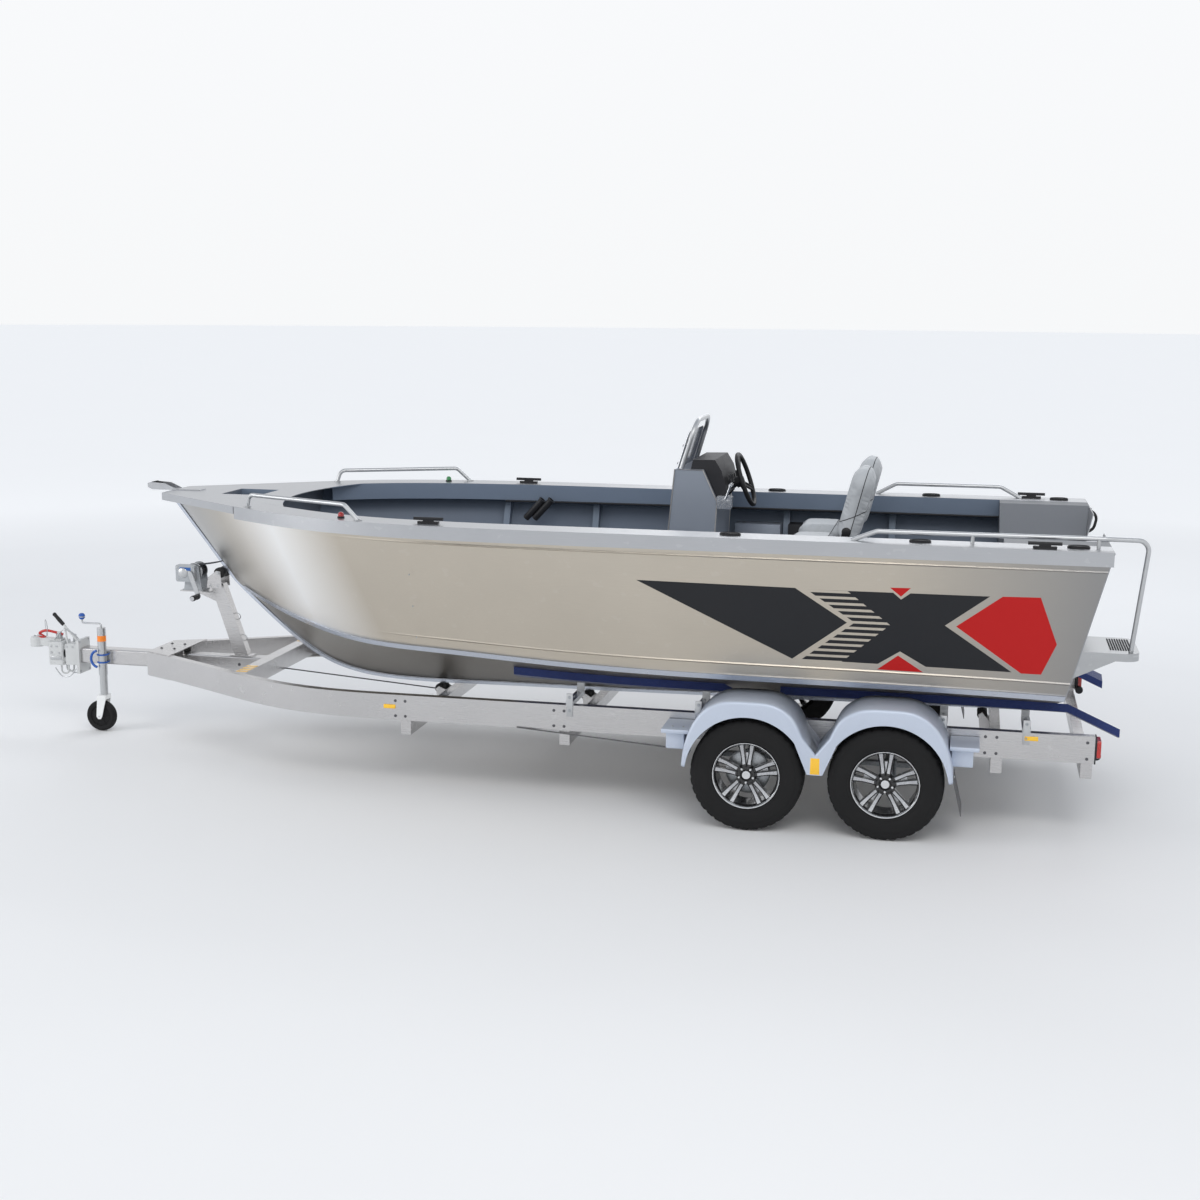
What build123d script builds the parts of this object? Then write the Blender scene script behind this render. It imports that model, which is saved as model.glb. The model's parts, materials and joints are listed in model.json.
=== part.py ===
from build123d import *
import math
import os

# A welded aluminium side console boat on its tandem trailer, in millimetres.
# +X points to the bow, +Y to port, +Z up, with the ground at Z = 0. While the pieces are made,
# X = 0 is the foot of the transom; the finished model is moved so that its origin is the middle
# of its box, on the ground.

# ---- Hull ----
HULL_LENGTH = 5535.0        # foot of the transom to the front of the bow plate
BEAM = 2400.0               # over the side decks
KEEL_HEIGHT = 465.0         # ground to the lowest point of the keel line
HULL_DEPTH = 1137.0         # keel line to the top of the side decks
PLATE = 5.0                 # hull plate
TRANSOM_RAKE = 190.0        # how far the transom's top stands behind its foot
SIDE_DECK_WIDTH = 215.0
DECK_LIP = 75.0             # depth of the side deck's outer face
COAMING = 105.0             # depth of the side deck's inner face
DECK_SHEET = 5.0
STATIONS = 25               # sections through each hull surface
FIT = 0.3                   # gap left between faces that are welded or bolted together
SHEET_SLACK = 0.4           # and a little more against the curved side sheets

# ---- Inside ----
FLOOR_HEIGHT = 850.0
FRONT_DECK_HEIGHT = 1130.0
FRONT_DECK_AFT = 3640.0
FRONT_DECK_FRONT = 4795.0
HATCH_LENGTH = 420.0
HATCH_WIDTH = 620.0
WELL_LENGTH = 260.0         # anchor well
WELL_WIDTH = 300.0
WELL_DEPTH = 170.0
MOTOR_WELL_FRONT = 350.0
MOTOR_WELL_WIDTH = 840.0
MOTOR_WELL_HEIGHT = 1170.0
TRANSOM_CUT_WIDTH = 720.0
TRANSOM_CUT_HEIGHT = 1190.0
TRANSOM_PAD = 45.0          # thick pad under the motor's clamps
MOTOR_BOLT_SPACING = 327.0  # the motor's upper pair of bolts
MOTOR_BOLT_DROP = 50.0      # below the cut's edge
MOTOR_BOLT_RADIUS = 6.5

# ---- Console ----
CONSOLE_PORT = -300.0
CONSOLE_STARBOARD = -930.0
CONSOLE_HEIGHT = 1805.0
CONSOLE_FRONT = 2330.0
CONSOLE_SHEET = 4.0
WHEEL_DIAMETER = 355.0      # steering wheel
WHEEL_TILT = 19.0           # its column's slope
SCREEN_HEIGHT = 300.0       # windscreen hoop above the console

# ---- Seats ----
SEAT_X = 1350.0
SEAT_WIDTH = 410.0
SEAT_DEPTH = 330.0
SEAT_PAN_HEIGHT = 1345.0
PAN_THICKNESS = 30.0
CUSHION_THICKNESS = 90.0
BACK_HEIGHT = 470.0
BACK_THICKNESS = 88.0
BACK_LEAN = 14.0
BACK_PIVOT_HEIGHT = 60.0    # over the cushion's top
HELM_SEAT_Y = -600.0
MATE_SEAT_Y = 30.0

# ---- Trailer ----
BEAM_HEIGHT = 150.0         # side beams
BEAM_WIDTH = 50.0
BEAM_BOTTOM = 420.0
BEAM_HALF_SPACING = 915.0   # centreline to a beam's outer face
BEAM_REAR = -180.0
BEAM_FRONT = 5690.0
DRAWBAR_SIZE = 100.0
DRAWBAR_BOTTOM = 440.0
DRAWBAR_REAR = 4900.0
DRAWBAR_FRONT = 6240.0
COUPLING_LENGTH = 390.0
BALL_RADIUS = 25.5
AXLE_X = 1277.5             # midway between the two axles
AXLE_SPACING = 745.0
TYRE_RADIUS = 310.0
TYRE_WIDTH = 190.0
RIM_RADIUS = 184.0
TRACK = 2240.0              # between the tyres' middles
SPINDLE_RADIUS = 20.0
GUARD_WIDTH = 324.0
JOCKEY_X = 6060.0
JOCKEY_WHEEL_RADIUS = 102.5
JOCKEY_WHEEL_WIDTH = 55.0
JOCKEY_TUBE_RADIUS = 28.0
JOCKEY_TRAIL = 25.0
JOCKEY_TRAVEL = 110.0
BUNK_WIDTH = 90.0
BUNK_THICKNESS = 45.0
BUNK_Y = 650.0
CROSS_BOTTOM = 336.0
CROSS_HEIGHT = 70.0

HALF_BEAM = BEAM / 2
DECK_TOP = KEEL_HEIGHT + HULL_DEPTH
CUSHION_TOP = SEAT_PAN_HEIGHT + PAN_THICKNESS + FIT + CUSHION_THICKNESS
AXLE_HEIGHT = TYRE_RADIUS
BEAM_TOP = BEAM_BOTTOM + BEAM_HEIGHT
DRAWBAR_TOP = DRAWBAR_BOTTOM + DRAWBAR_SIZE
DRAWBAR_HALF = DRAWBAR_SIZE / 2
JOCKEY_Y = DRAWBAR_HALF + 12 + JOCKEY_TUBE_RADIUS
AXLES = (AXLE_X + AXLE_SPACING / 2, AXLE_X - AXLE_SPACING / 2)

os.makedirs("parts", exist_ok=True)
parts = {}


# ---- Ways of making shapes ----
def block(x, y, z):
    """A box from a low and a high value along each axis."""
    size = [high - low for low, high in (x, y, z)]
    middle = [(high + low) / 2 for low, high in (x, y, z)]
    return Pos(*middle) * Box(*size)


def prism(corners, push):
    """A flat outline pushed along a direction."""
    return Solid.extrude(Face(Wire.make_polygon([Vector(*c) for c in corners])), Vector(*push))


def plate_xz(outline, y_low, y_high):
    return prism([(x, y_low, z) for x, z in outline], (0, y_high - y_low, 0))


def plate_xy(outline, z_low, z_high):
    return prism([(x, y, z_low) for x, y in outline], (0, 0, z_high - z_low))


def plate_yz(outline, x_low, x_high):
    return prism([(x_low, y, z) for y, z in outline], (x_high - x_low, 0, 0))


def rod(start, end, radius):
    """A round bar between two points."""
    start = Vector(*start)
    along = Vector(*end) - start
    bar = Cylinder(radius, along.length, align=(Align.CENTER, Align.CENTER, Align.MIN))
    return Plane(origin=start, z_dir=along) * bar


def bent_tube(points, radius, bend):
    """A round tube through the corner points, with every corner bent to one radius."""
    path = FilletPolyline(*points, radius=bend)
    section = Plane(origin=path @ 0, z_dir=path % 0) * Circle(radius)
    return sweep(section, path=path)


def loft(sections, ruled=False):
    return Solid.make_loft([Wire.make_polygon([Vector(*c) for c in s]) for s in sections], ruled)


def mirrored(shape):
    return shape.mirror(Plane.XZ)


def both_sides(*shapes):
    """The shapes and their mirror images across the centreline."""
    return [*shapes, *[mirrored(s) for s in shapes]]


def together(shapes):
    return Compound(children=list(shapes)) if len(shapes) > 1 else shapes[0]


def share_at_x(curve, x):
    """How far along a curve it reaches a given X, for a curve whose X only rises."""
    low, high = 0.0, 1.0
    for _ in range(30):
        middle = (low + high) / 2
        if curve.position_at(middle).X < x:
            low = middle
        else:
            high = middle
    return low


def at_x(curve, x):
    return curve.position_at(share_at_x(curve, x))


def outward(curve, u):
    """The level direction that points away from the centreline, square to the curve."""
    along = curve.tangent_at(u)
    return Vector(-along.Y, along.X, 0).normalized()


def along_curve(curve, outline, parameters):
    """A profile of (outward, up) points carried along a curve, as one loft."""
    sections = []
    for u in parameters:
        origin = curve.position_at(u)
        side = outward(curve, u)
        sections.append([origin + side * out + Vector(0, 0, up) for out, up in outline])
    return loft(sections)


# ---- Hull lines, from a table of offsets ----
# Each row: how far along the hull, then the half breadth where the line has one, then the rise
# over the keel line. They are shares of HULL_LENGTH, of the half breadth and of HULL_DEPTH.
KEEL_ROWS = ((0.253, 0.018), (0.496, 0.004), (0.627, 0.0), (0.73, 0.003), (0.804, 0.066),
             (0.871, 0.273), (0.92, 0.488), (0.9305, 0.5387))
CHINE_ROWS = ((0, 0.815, 0.266), (0.253, 0.815, 0.281), (0.496, 0.807, 0.3), (0.627, 0.75, 0.322),
              (0.73, 0.65, 0.342), (0.804, 0.5, 0.4), (0.871, 0.29, 0.466), (0.92, 0.085, 0.53),
              (0.9305, 0.01, 0.5475))
SHEER_ROWS = ((0.08, 1.0, 1.0), (0.226, 1.0, 1.0), (0.36, 1.0, 1.0), (0.488, 1.0, 1.0),
              (0.6414, 0.98, 1.001), (0.75, 0.882, 1.004), (0.835, 0.695, 1.008), (0.9124, 0.438, 1.0075),
              (0.9684, 0.2, 0.998), (0.9986, 0.01, 0.963))
STERN_KEEL_RISE = 0.031
KEEL_BAR_DEPTH = 20.0
LIP_GAP = 1.2               # between the side sheet and the side deck's outer lip
DECK_OUTER = DECK_SHEET + LIP_GAP
SHEET_HALF_BEAM = HALF_BEAM - DECK_OUTER
CHINE_FOOT = KEEL_HEIGHT + CHINE_ROWS[0][2] * HULL_DEPTH


def hull_point(along, breadth, rise, half_beam=HALF_BEAM):
    return Vector(along * HULL_LENGTH, breadth * half_beam, KEEL_HEIGHT + rise * HULL_DEPTH)


def transom_x(z):
    """The plane of the raked transom at a height: the hull's plates end there."""
    return -TRANSOM_RAKE * (z - CHINE_FOOT) / (DECK_TOP - CHINE_FOOT)


KEEL_START = KEEL_HEIGHT + STERN_KEEL_RISE * HULL_DEPTH
KEEL = Spline((transom_x(KEEL_START), 0, KEEL_START),
              *[hull_point(along, 0, rise) for along, rise in KEEL_ROWS])
CHINE = Spline(*[hull_point(*row) for row in CHINE_ROWS])
SHEER = Spline((-TRANSOM_RAKE, SHEET_HALF_BEAM, DECK_TOP),
               *[hull_point(*row, SHEET_HALF_BEAM) for row in SHEER_ROWS])
SHARES = [i / (STATIONS - 1) for i in range(STATIONS)]


def crossing(x, place):
    """Where along the hull a rule line reaches a given X; place(u) is its point at a share."""
    low, high = 0.0, 1.0
    for _ in range(24):
        middle = (low + high) / 2
        if place(middle).X < x:
            low = middle
        else:
            high = middle
    return low


def bottom_height(x, y):
    """The hull bottom's outside at a place under the boat."""
    def place(u):
        keel = KEEL.position_at(u)
        chine = CHINE.position_at(u)
        return keel + (chine - keel) * (abs(y) / chine.Y)
    return place(crossing(x, place)).Z


def inner_half_breadth(x, z, gap=FIT):
    """Half the width between the side sheets at a place inside the boat."""
    def place(u):
        chine = CHINE.position_at(u)
        rise = SHEER.position_at(u) - chine
        return chine + rise * ((z - chine.Z) / rise.Z)
    u = crossing(x, place)
    return place(u).Y - (PLATE + gap + SHEET_SLACK) / outward(SHEER, u).Y


def make_bottom():
    sections = []
    for u in SHARES:
        keel = KEEL.position_at(u)
        chine = CHINE.position_at(u)
        ridge = Vector(chine.X, 0, chine.Z)
        lift = (ridge - keel).normalized() * PLATE
        port = Vector(chine.X, chine.Y, chine.Z)
        starboard = Vector(chine.X, -chine.Y, chine.Z)
        sections.append([starboard, keel, port, port + lift, keel + lift, starboard + lift])
    return loft(sections)


# Two beads are pressed along each side sheet, which fade out towards the bow.
BEAD_SHARES = (0.115, 0.875)
BEAD_HALF_SHARE = 0.009
BEAD_DEPTH = 5.0


def make_side():
    sections = []
    for u in SHARES:
        foot = CHINE.position_at(u)
        head = SHEER.position_at(u)
        slope = (head - foot) * (1 / (head.Z - foot.Z))
        low = foot + slope * (PLATE + FIT)
        high = head - slope * DECK_SHEET
        rise = high - low
        side = outward(SHEER, u)
        fade = max(0.0, min(1.0, (0.72 - u) / 0.12))
        outer = [low]
        for share in BEAD_SHARES:
            outer.append(low + rise * (share - BEAD_HALF_SHARE))
            outer.append(low + rise * share + side * (BEAD_DEPTH * fade + 0.05))
            outer.append(low + rise * (share + BEAD_HALF_SHARE))
        outer.append(high)
        sections.append([*outer, high - side * PLATE, low - side * PLATE])
    return loft(sections)


def make_chine_strip():
    strip_low, strip_high, strip_thickness = 1.0, 30.0, 9.0
    sections = []
    for u in (*SHARES[:-2], 0.94):
        low = CHINE.position_at(u)
        rise = SHEER.position_at(u) - low
        slope = rise * (1 / rise.Z)
        side = outward(SHEER, u)
        inner_low = low + side * 0.7 + slope * strip_low
        inner_high = low + side * 0.7 + slope * strip_high
        sections.append([inner_low, inner_low + side * strip_thickness,
                         inner_high + side * strip_thickness, inner_high])
    return loft(sections)


def make_keel_bar():
    """The bar welded along the keel and up the stem, to the bow plate's underside."""
    bar_width = 30.0
    stem_foot = KEEL.position_at(1)
    stem_head = SHEER.position_at(1)
    shares = [0.02 + 0.98 * i / 24 for i in range(25)]
    inner = []
    outer = []
    for u in shares:
        point = KEEL.position_at(u)
        along = KEEL.tangent_at(u)
        down = Vector(along.Z, 0, -along.X)
        inner.append(point + down * 1.2)
        outer.append(point + down * KEEL_BAR_DEPTH)
    stem = stem_head - stem_foot
    stem = Vector(stem.X, 0, stem.Z)
    down = Vector(stem.Z, 0, -stem.X).normalized()
    for share in (0.35, 0.7, 0.97):
        inner.append(stem_foot + stem * share + down * 2.5)
        outer.append(stem_foot + stem * share + down * KEEL_BAR_DEPTH)
    inner = [Vector(p.X, -bar_width / 2, p.Z) for p in inner]
    outer = [Vector(p.X, -bar_width / 2, p.Z) for p in outer]
    ends = [Line(inner[0], outer[0]), Line(inner[-1], outer[-1])]
    face = Face(Wire([Spline(*inner), Spline(*outer), *ends]))
    return Solid.extrude(face, Vector(0, bar_width, 0))


def make_transom():
    """The raked transom plate, cut down in the middle for the outboard motor."""
    foot_keel = KEEL.position_at(0).Z
    foot_chine = CHINE.position_at(0)
    top = SHEER.position_at(0)
    half_cut = TRANSOM_CUT_WIDTH / 2
    outline = [(0, foot_keel + 2), (foot_chine.Y, foot_chine.Z + 2), (top.Y, top.Z - DECK_SHEET),
               (half_cut + 70, top.Z - DECK_SHEET), (half_cut, TRANSOM_CUT_HEIGHT)]
    corners = outline + [(-y, z) for y, z in reversed(outline[1:])]
    back = PLATE + FIT
    plate = prism([(transom_x(z) - back, y, z) for y, z in corners], (PLATE, 0, 0))
    # The thick pad that the motor is clamped and bolted to.
    pad_half, pad_foot = half_cut - 30, 900
    pad = [(transom_x(z), y, z) for y, z in ((-pad_half, TRANSOM_CUT_HEIGHT), (pad_half, TRANSOM_CUT_HEIGHT),
                                             (pad_half, pad_foot), (-pad_half, pad_foot))]
    whole = plate + prism(pad, (-TRANSOM_PAD, 0, 0))
    z = TRANSOM_CUT_HEIGHT - MOTOR_BOLT_DROP
    for y in (-MOTOR_BOLT_SPACING / 2, MOTOR_BOLT_SPACING / 2):
        whole = whole - rod((transom_x(z) + 80, y, z), (transom_x(z) - 120, y, z), MOTOR_BOLT_RADIUS)
    return whole


# The side deck is a folded channel: an outer lip, a flat top and a deeper inner coaming.
DECK_INNER = DECK_OUTER - SIDE_DECK_WIDTH
SIDE_DECK_PROFILE = ((DECK_OUTER, FIT), (DECK_OUTER, -DECK_LIP), (LIP_GAP, -DECK_LIP),
                     (LIP_GAP, FIT - DECK_SHEET), (DECK_INNER + DECK_SHEET, FIT - DECK_SHEET),
                     (DECK_INNER + DECK_SHEET, -COAMING), (DECK_INNER, -COAMING), (DECK_INNER, FIT))
SIDE_DECK_FRONT = share_at_x(SHEER, 0.867 * HULL_LENGTH)
FOREDECK_AFT = share_at_x(SHEER, 0.835 * HULL_LENGTH)
BOW_HALF_WIDTH = 190.0
BOW_BAND = 42.0
FOREDECK_TOP = SHEER.position_at(SIDE_DECK_FRONT).Z + FIT
FOREDECK_BOTTOM = FOREDECK_TOP - DECK_SHEET
WELL_AFT = 0.883 * HULL_LENGTH


def deck_edge(share, out):
    """A place on the side deck's top, so far outward from the sheer."""
    return SHEER.position_at(share) + outward(SHEER, share) * out + Vector(0, 0, FIT)


def deck_place(x, inset):
    """A place on the side deck's top, so far in from its outer edge."""
    return deck_edge(share_at_x(SHEER, x), DECK_OUTER - inset)


def make_side_deck():
    last = SIDE_DECK_FRONT
    stations = [u for u in SHARES if u < last - 0.01]
    deck = along_curve(SHEER, SIDE_DECK_PROFILE, [*stations, last])
    # The coaming stops at the transom; the top and the lip run on over it.
    top = DECK_TOP - DECK_SHEET
    behind = [(transom_x(z) + FIT, z) for z in (top - COAMING, top)] + [(-900, top), (-900, top - COAMING)]
    return deck - plate_xz(behind, HALF_BEAM - SIDE_DECK_WIDTH - 20, HALF_BEAM - SIDE_DECK_WIDTH + 20)


def make_foredeck():
    """The flat bow plate with its edge bands and the open anchor well under it."""
    shares = [FOREDECK_AFT + (SIDE_DECK_FRONT - FOREDECK_AFT) * i / 3 for i in range(4)]
    inner = [deck_edge(u, DECK_INNER - 1) for u in shares]
    forward = SHEER.tangent_at(SIDE_DECK_FRONT) * 0.6
    shoulder = deck_edge(SIDE_DECK_FRONT, DECK_OUTER) + forward
    rim = [Vector(p.X, p.Y, FOREDECK_BOTTOM) for p in (*inner, inner[-1] + forward, shoulder)]
    rim.append(Vector(HULL_LENGTH, BOW_HALF_WIDTH, FOREDECK_BOTTOM))
    port = Polyline(*rim)
    starboard = Polyline(*[Vector(p.X, -p.Y, p.Z) for p in rim])
    front = Line(rim[-1], Vector(rim[-1].X, -rim[-1].Y, rim[-1].Z))
    back_middle = Vector(rim[0].X + 165, 0, rim[0].Z)
    back = ThreePointArc(rim[0], back_middle, Vector(rim[0].X, -rim[0].Y, rim[0].Z))
    outline = Face(Wire([*port.edges(), front, *starboard.edges(), back]))
    deck = Solid.extrude(outline, Vector(0, 0, DECK_SHEET))
    shoulder, corner = rim[-2], rim[-1]
    shoulder = shoulder + (corner - shoulder).normalized() * 8
    across = Vector(corner.Y - shoulder.Y, shoulder.X - corner.X, 0).normalized() * DECK_SHEET
    band = [shoulder, corner, corner + across, shoulder + across]
    band = prism([p + Vector(0, 0, 0.5) for p in band], (0, 0, -BOW_BAND - 0.5))
    front_band = block((HULL_LENGTH - DECK_SHEET, HULL_LENGTH), (-BOW_HALF_WIDTH, BOW_HALF_WIDTH),
                       (FOREDECK_BOTTOM - BOW_BAND, FOREDECK_TOP))
    well_x = (WELL_AFT, WELL_AFT + WELL_LENGTH)
    half = WELL_WIDTH / 2
    floor = FOREDECK_BOTTOM - WELL_DEPTH
    tub = block((well_x[0] - CONSOLE_SHEET, well_x[1] + CONSOLE_SHEET),
                (-half - CONSOLE_SHEET, half + CONSOLE_SHEET), (floor - CONSOLE_SHEET, FOREDECK_TOP))
    space = block(well_x, (-half, half), (floor, FOREDECK_TOP + 10))
    return deck + band + mirrored(band) + front_band + tub - space


SPRIT_REACH = 170.0
SPRIT_HALF_WIDTH = 40.0
SPRIT_ROLLER_RADIUS = 17.0


def make_bowsprit():
    """The anchor roller's channel, bolted on top of the bow plate."""
    rear, front = HULL_LENGTH - 190, HULL_LENGTH + SPRIT_REACH
    base_z = FOREDECK_TOP + FIT
    base = block((rear, front - 30), (-SPRIT_HALF_WIDTH, SPRIT_HALF_WIDTH), (base_z, base_z + 6))
    cheek = [(front - 210, base_z), (front - 30, base_z), (front, base_z + 14), (front, base_z + 40),
             (front - 20, base_z + 46), (front - 120, base_z + 40)]
    cheek = plate_xz(cheek, SPRIT_HALF_WIDTH, SPRIT_HALF_WIDTH + 6)
    return base + cheek + mirrored(cheek)


# ---- Cockpit ----
def hull_outline(x_values, z, gap):
    port = [(x, inner_half_breadth(x, z, gap)) for x in x_values]
    return port + [(x, -y) for x, y in reversed(port)]


def make_floor():
    low = FLOOR_HEIGHT - CONSOLE_SHEET
    aft = transom_x(low) + FIT
    stations = [aft + (FRONT_DECK_AFT - aft) * i / 8 for i in range(9)]
    return plate_xy(hull_outline(stations, low, 1.5), low, FLOOR_HEIGHT)


HATCH_AFT = FRONT_DECK_AFT + 190
HATCH_GAP = 5.0


def make_front_deck():
    """The raised front deck, with its aft bulkhead and the wall under the bow plate."""
    low = FRONT_DECK_HEIGHT - CONSOLE_SHEET
    length = FRONT_DECK_FRONT - FRONT_DECK_AFT
    stations = [FRONT_DECK_AFT + length * i / 6 for i in range(7)]
    deck = plate_xy(hull_outline(stations, low, 8), low, FRONT_DECK_HEIGHT)
    opening = block((HATCH_AFT, HATCH_AFT + HATCH_LENGTH), (-HATCH_WIDTH / 2, HATCH_WIDTH / 2),
                    (low - 5, low + 20))
    walls = []
    for x, foot, head in ((FRONT_DECK_AFT, FLOOR_HEIGHT + FIT, low + 1),
                          (FRONT_DECK_FRONT - CONSOLE_SHEET, low + 1, FOREDECK_BOTTOM - FIT)):
        foot_y = inner_half_breadth(x, foot, 9)
        head_y = inner_half_breadth(x, head, 14)
        walls.append(plate_yz([(foot_y, foot), (head_y, head), (-head_y, head), (-foot_y, foot)],
                              x, x + CONSOLE_SHEET))
    # A ledge under the lid's edge carries it when it is shut.
    half = HATCH_WIDTH / 2
    front = HATCH_AFT + HATCH_LENGTH
    ledge = block((HATCH_AFT - 8, front + 8), (-half - 8, half + 8), (low - 10, low + 0.5))
    seat = block((HATCH_AFT, front), (-half, half), (low - FIT, low + 5))
    hole = block((HATCH_AFT + 20, front - 20), (20 - half, half - 20), (low - 15, low + 5))
    return deck - opening + walls[0] + walls[1] + (ledge - seat - hole)


def make_front_hatch():
    """The lid of the front deck's locker, which turns up about its forward edge."""
    half = HATCH_WIDTH / 2 - HATCH_GAP
    lid = block((HATCH_AFT + HATCH_GAP, HATCH_AFT + HATCH_LENGTH - HATCH_GAP), (-half, half),
                (FRONT_DECK_HEIGHT - CONSOLE_SHEET, FRONT_DECK_HEIGHT))
    return lid


def make_side_frames():
    """Upright folded frames between the floor and the side decks."""
    frame_width, frame_depth = 42.0, 55.0
    low = FLOOR_HEIGHT + FIT
    high = DECK_TOP - DECK_SHEET - 1
    frames = []
    for x in (1000.0, 1690.0, 2360.0, 2980.0, 3590.0):
        foot = min(inner_half_breadth(px, low) for px in (x, x + frame_width))
        head = min(inner_half_breadth(px, high) for px in (x, x + frame_width))
        outline = [(foot, low), (head, high), (head - frame_depth, high), (foot - frame_depth, low)]
        frames.append(plate_yz(outline, x, x + frame_width))
    return both_sides(*frames)


def make_stern_deck():
    """The quarter decks, their sloping sides, the motor well and the bulkhead before it."""
    edge = SHEER.position_at(0).Y + DECK_INNER - 0.8
    top = DECK_TOP - FIT
    knuckle = edge - 175
    well = MOTOR_WELL_WIDTH / 2
    slope_foot = top - 170
    upper = [(edge, top), (knuckle, top), (well, slope_foot), (well, MOTOR_WELL_HEIGHT)]
    t = CONSOLE_SHEET
    lower = [(well + t, MOTOR_WELL_HEIGHT - t), (well + t, slope_foot - 3), (knuckle + 1, top - t),
             (edge, top - t)]
    skin = upper + [(-y, z) for y, z in reversed(upper)]
    skin += [(-y, z) for y, z in reversed(lower)] + lower
    aft = -TRANSOM_RAKE - 20
    trough = plate_yz(skin, aft, MOTOR_WELL_FRONT)
    foot = inner_half_breadth(MOTOR_WELL_FRONT, FLOOR_HEIGHT + FIT, FIT)
    shoulder_z = DECK_TOP - COAMING - 2
    shoulder = inner_half_breadth(MOTOR_WELL_FRONT, shoulder_z, FIT)
    wall = [(foot, FLOOR_HEIGHT + FIT), (shoulder, shoulder_z), (edge, shoulder_z), *upper]
    wall += [(-y, z) for y, z in reversed(wall)]
    bulkhead = plate_yz(wall, MOTOR_WELL_FRONT - CONSOLE_SHEET, MOTOR_WELL_FRONT)
    behind = [(transom_x(z) + FIT, z) for z in (700, 1800)]
    behind = plate_xz([*behind, (-900, 1800), (-900, 700)], -HALF_BEAM, HALF_BEAM)
    return trough + bulkhead - behind


def make_deck_fittings():
    """Flush rod holders and low cleats on the side decks."""
    pieces = []
    for x, inset in ((-20.0, 118), (780.0, 118), (1780.0, 118)):
        place = deck_place(x, inset)
        cup = Pos(place.X, place.Y, place.Z + FIT) * extrude(SlotOverall(115, 62), 9)
        pieces.append(cup)
    for x, inset in ((150.0, 60), (3480.0, 105)):
        place = deck_place(x, inset)
        base = block((-60, 60), (-14, 14), (0.6, 12))
        stem = block((-30, 30), (-8, 8), (8, 28))
        pieces.append(Pos(*place) * (base + stem + rod((-85, 0, 26), (85, 0, 26), 9)))
    return both_sides(*pieces)


def make_nav_lights():
    """Red and green bow lamps on the side decks, inside the bow rails' aft legs."""
    place = deck_place(4040.0, 95)
    lamp = Cylinder(17, 34, align=(Align.CENTER, Align.CENTER, Align.MIN))
    lamp = fillet(lamp.edges().group_by(Axis.Z)[-1], 12)
    return both_sides(Pos(place.X, place.Y, place.Z + FIT) * lamp)


RAIL_RADIUS = 12.5
RAIL_INSET = 50.0
BOW_RAIL = ((4737.0, 0), (4715.0, 74), (3985.0, 84), (3895.0, 0))


def make_bow_rail():
    points = []
    for x, up in BOW_RAIL:
        place = deck_place(x, RAIL_INSET)
        points.append(Vector(place.X, place.Y, place.Z + max(up, FIT)))
    rail = bent_tube(points, RAIL_RADIUS, 45)
    for foot in (points[0], points[-1]):
        low = foot.Z + FIT
        rail = rail + rod((foot.X, foot.Y, low), (foot.X, foot.Y, low + 4), 22)
        rail = rail - Pos(foot.X, foot.Y, low - 20) * Box(120, 120, 40)
    return rail


STERN_RAIL_UP = 52.0
STERN_RAIL_FRONT = 1135.0
STERN_RAIL_INSET = 98.0


def make_stern_rails():
    """The port rail reaches round the quarter down to the boarding platform; the other is short."""
    y = HALF_BEAM - STERN_RAIL_INSET
    low = DECK_TOP + 2 * FIT
    high = DECK_TOP + STERN_RAIL_UP
    front = (STERN_RAIL_FRONT, y, low)
    bend = (STERN_RAIL_FRONT - 130, y, high)
    stern_x = -375.0
    platform_z = PLATFORM_TOP + FIT
    port = bent_tube([front, bend, (-150.0, y - 20, high), (stern_x, y - 70, high - 8),
                      (stern_x + 52, PLATFORM_PORT - 45, platform_z)], RAIL_RADIUS, 62)
    starboard = bent_tube([(STERN_RAIL_FRONT, -y, low), (STERN_RAIL_FRONT - 130, -y, high + 18),
                           (345.0, -y, high + 18), (215.0, -y, low)], RAIL_RADIUS, 62)
    for x, shift in ((513.0, 8), (-118.0, 20)):
        port = port + rod((x, y - shift * 0.95, low), (x, y - shift * 0.95, high), 10)
    under_deck = block((-TRANSOM_RAKE - 60, 2000), (-HALF_BEAM, HALF_BEAM), (low - 60, low))
    under_step = block((-600, -200), (0, HALF_BEAM), (platform_z - 60, platform_z))
    return [port - under_deck - under_step, starboard - under_deck]


PLATFORM_TOP = 1045.0
PLATFORM_THICKNESS = 42.0
PLATFORM_PORT = 1000.0
PLATFORM_STARBOARD = 560.0
PLATFORM_AFT = -368.0


def make_boarding_platform():
    """The step on the port quarter, with two gussets down the transom."""
    low = PLATFORM_TOP - PLATFORM_THICKNESS
    face = PLATE + 2 * FIT
    outline = [(transom_x(low) - face, low), (transom_x(PLATFORM_TOP) - face, PLATFORM_TOP),
               (PLATFORM_AFT, PLATFORM_TOP), (PLATFORM_AFT, low)]
    deck = plate_xz(outline, PLATFORM_STARBOARD, PLATFORM_PORT)
    corners = deck.edges().filter_by(Axis.Z).sort_by(Axis.X)[:2]
    deck = fillet(corners, 70)
    for y in (PLATFORM_STARBOARD + 60, PLATFORM_PORT - 66):
        gusset = [(transom_x(low + 1) - face, low + 1), (transom_x(low - 120) - face, low - 120),
                  (PLATFORM_AFT + 90, low + 1)]
        deck = deck + plate_xz(gusset, y, y + 6)
    return deck


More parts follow.
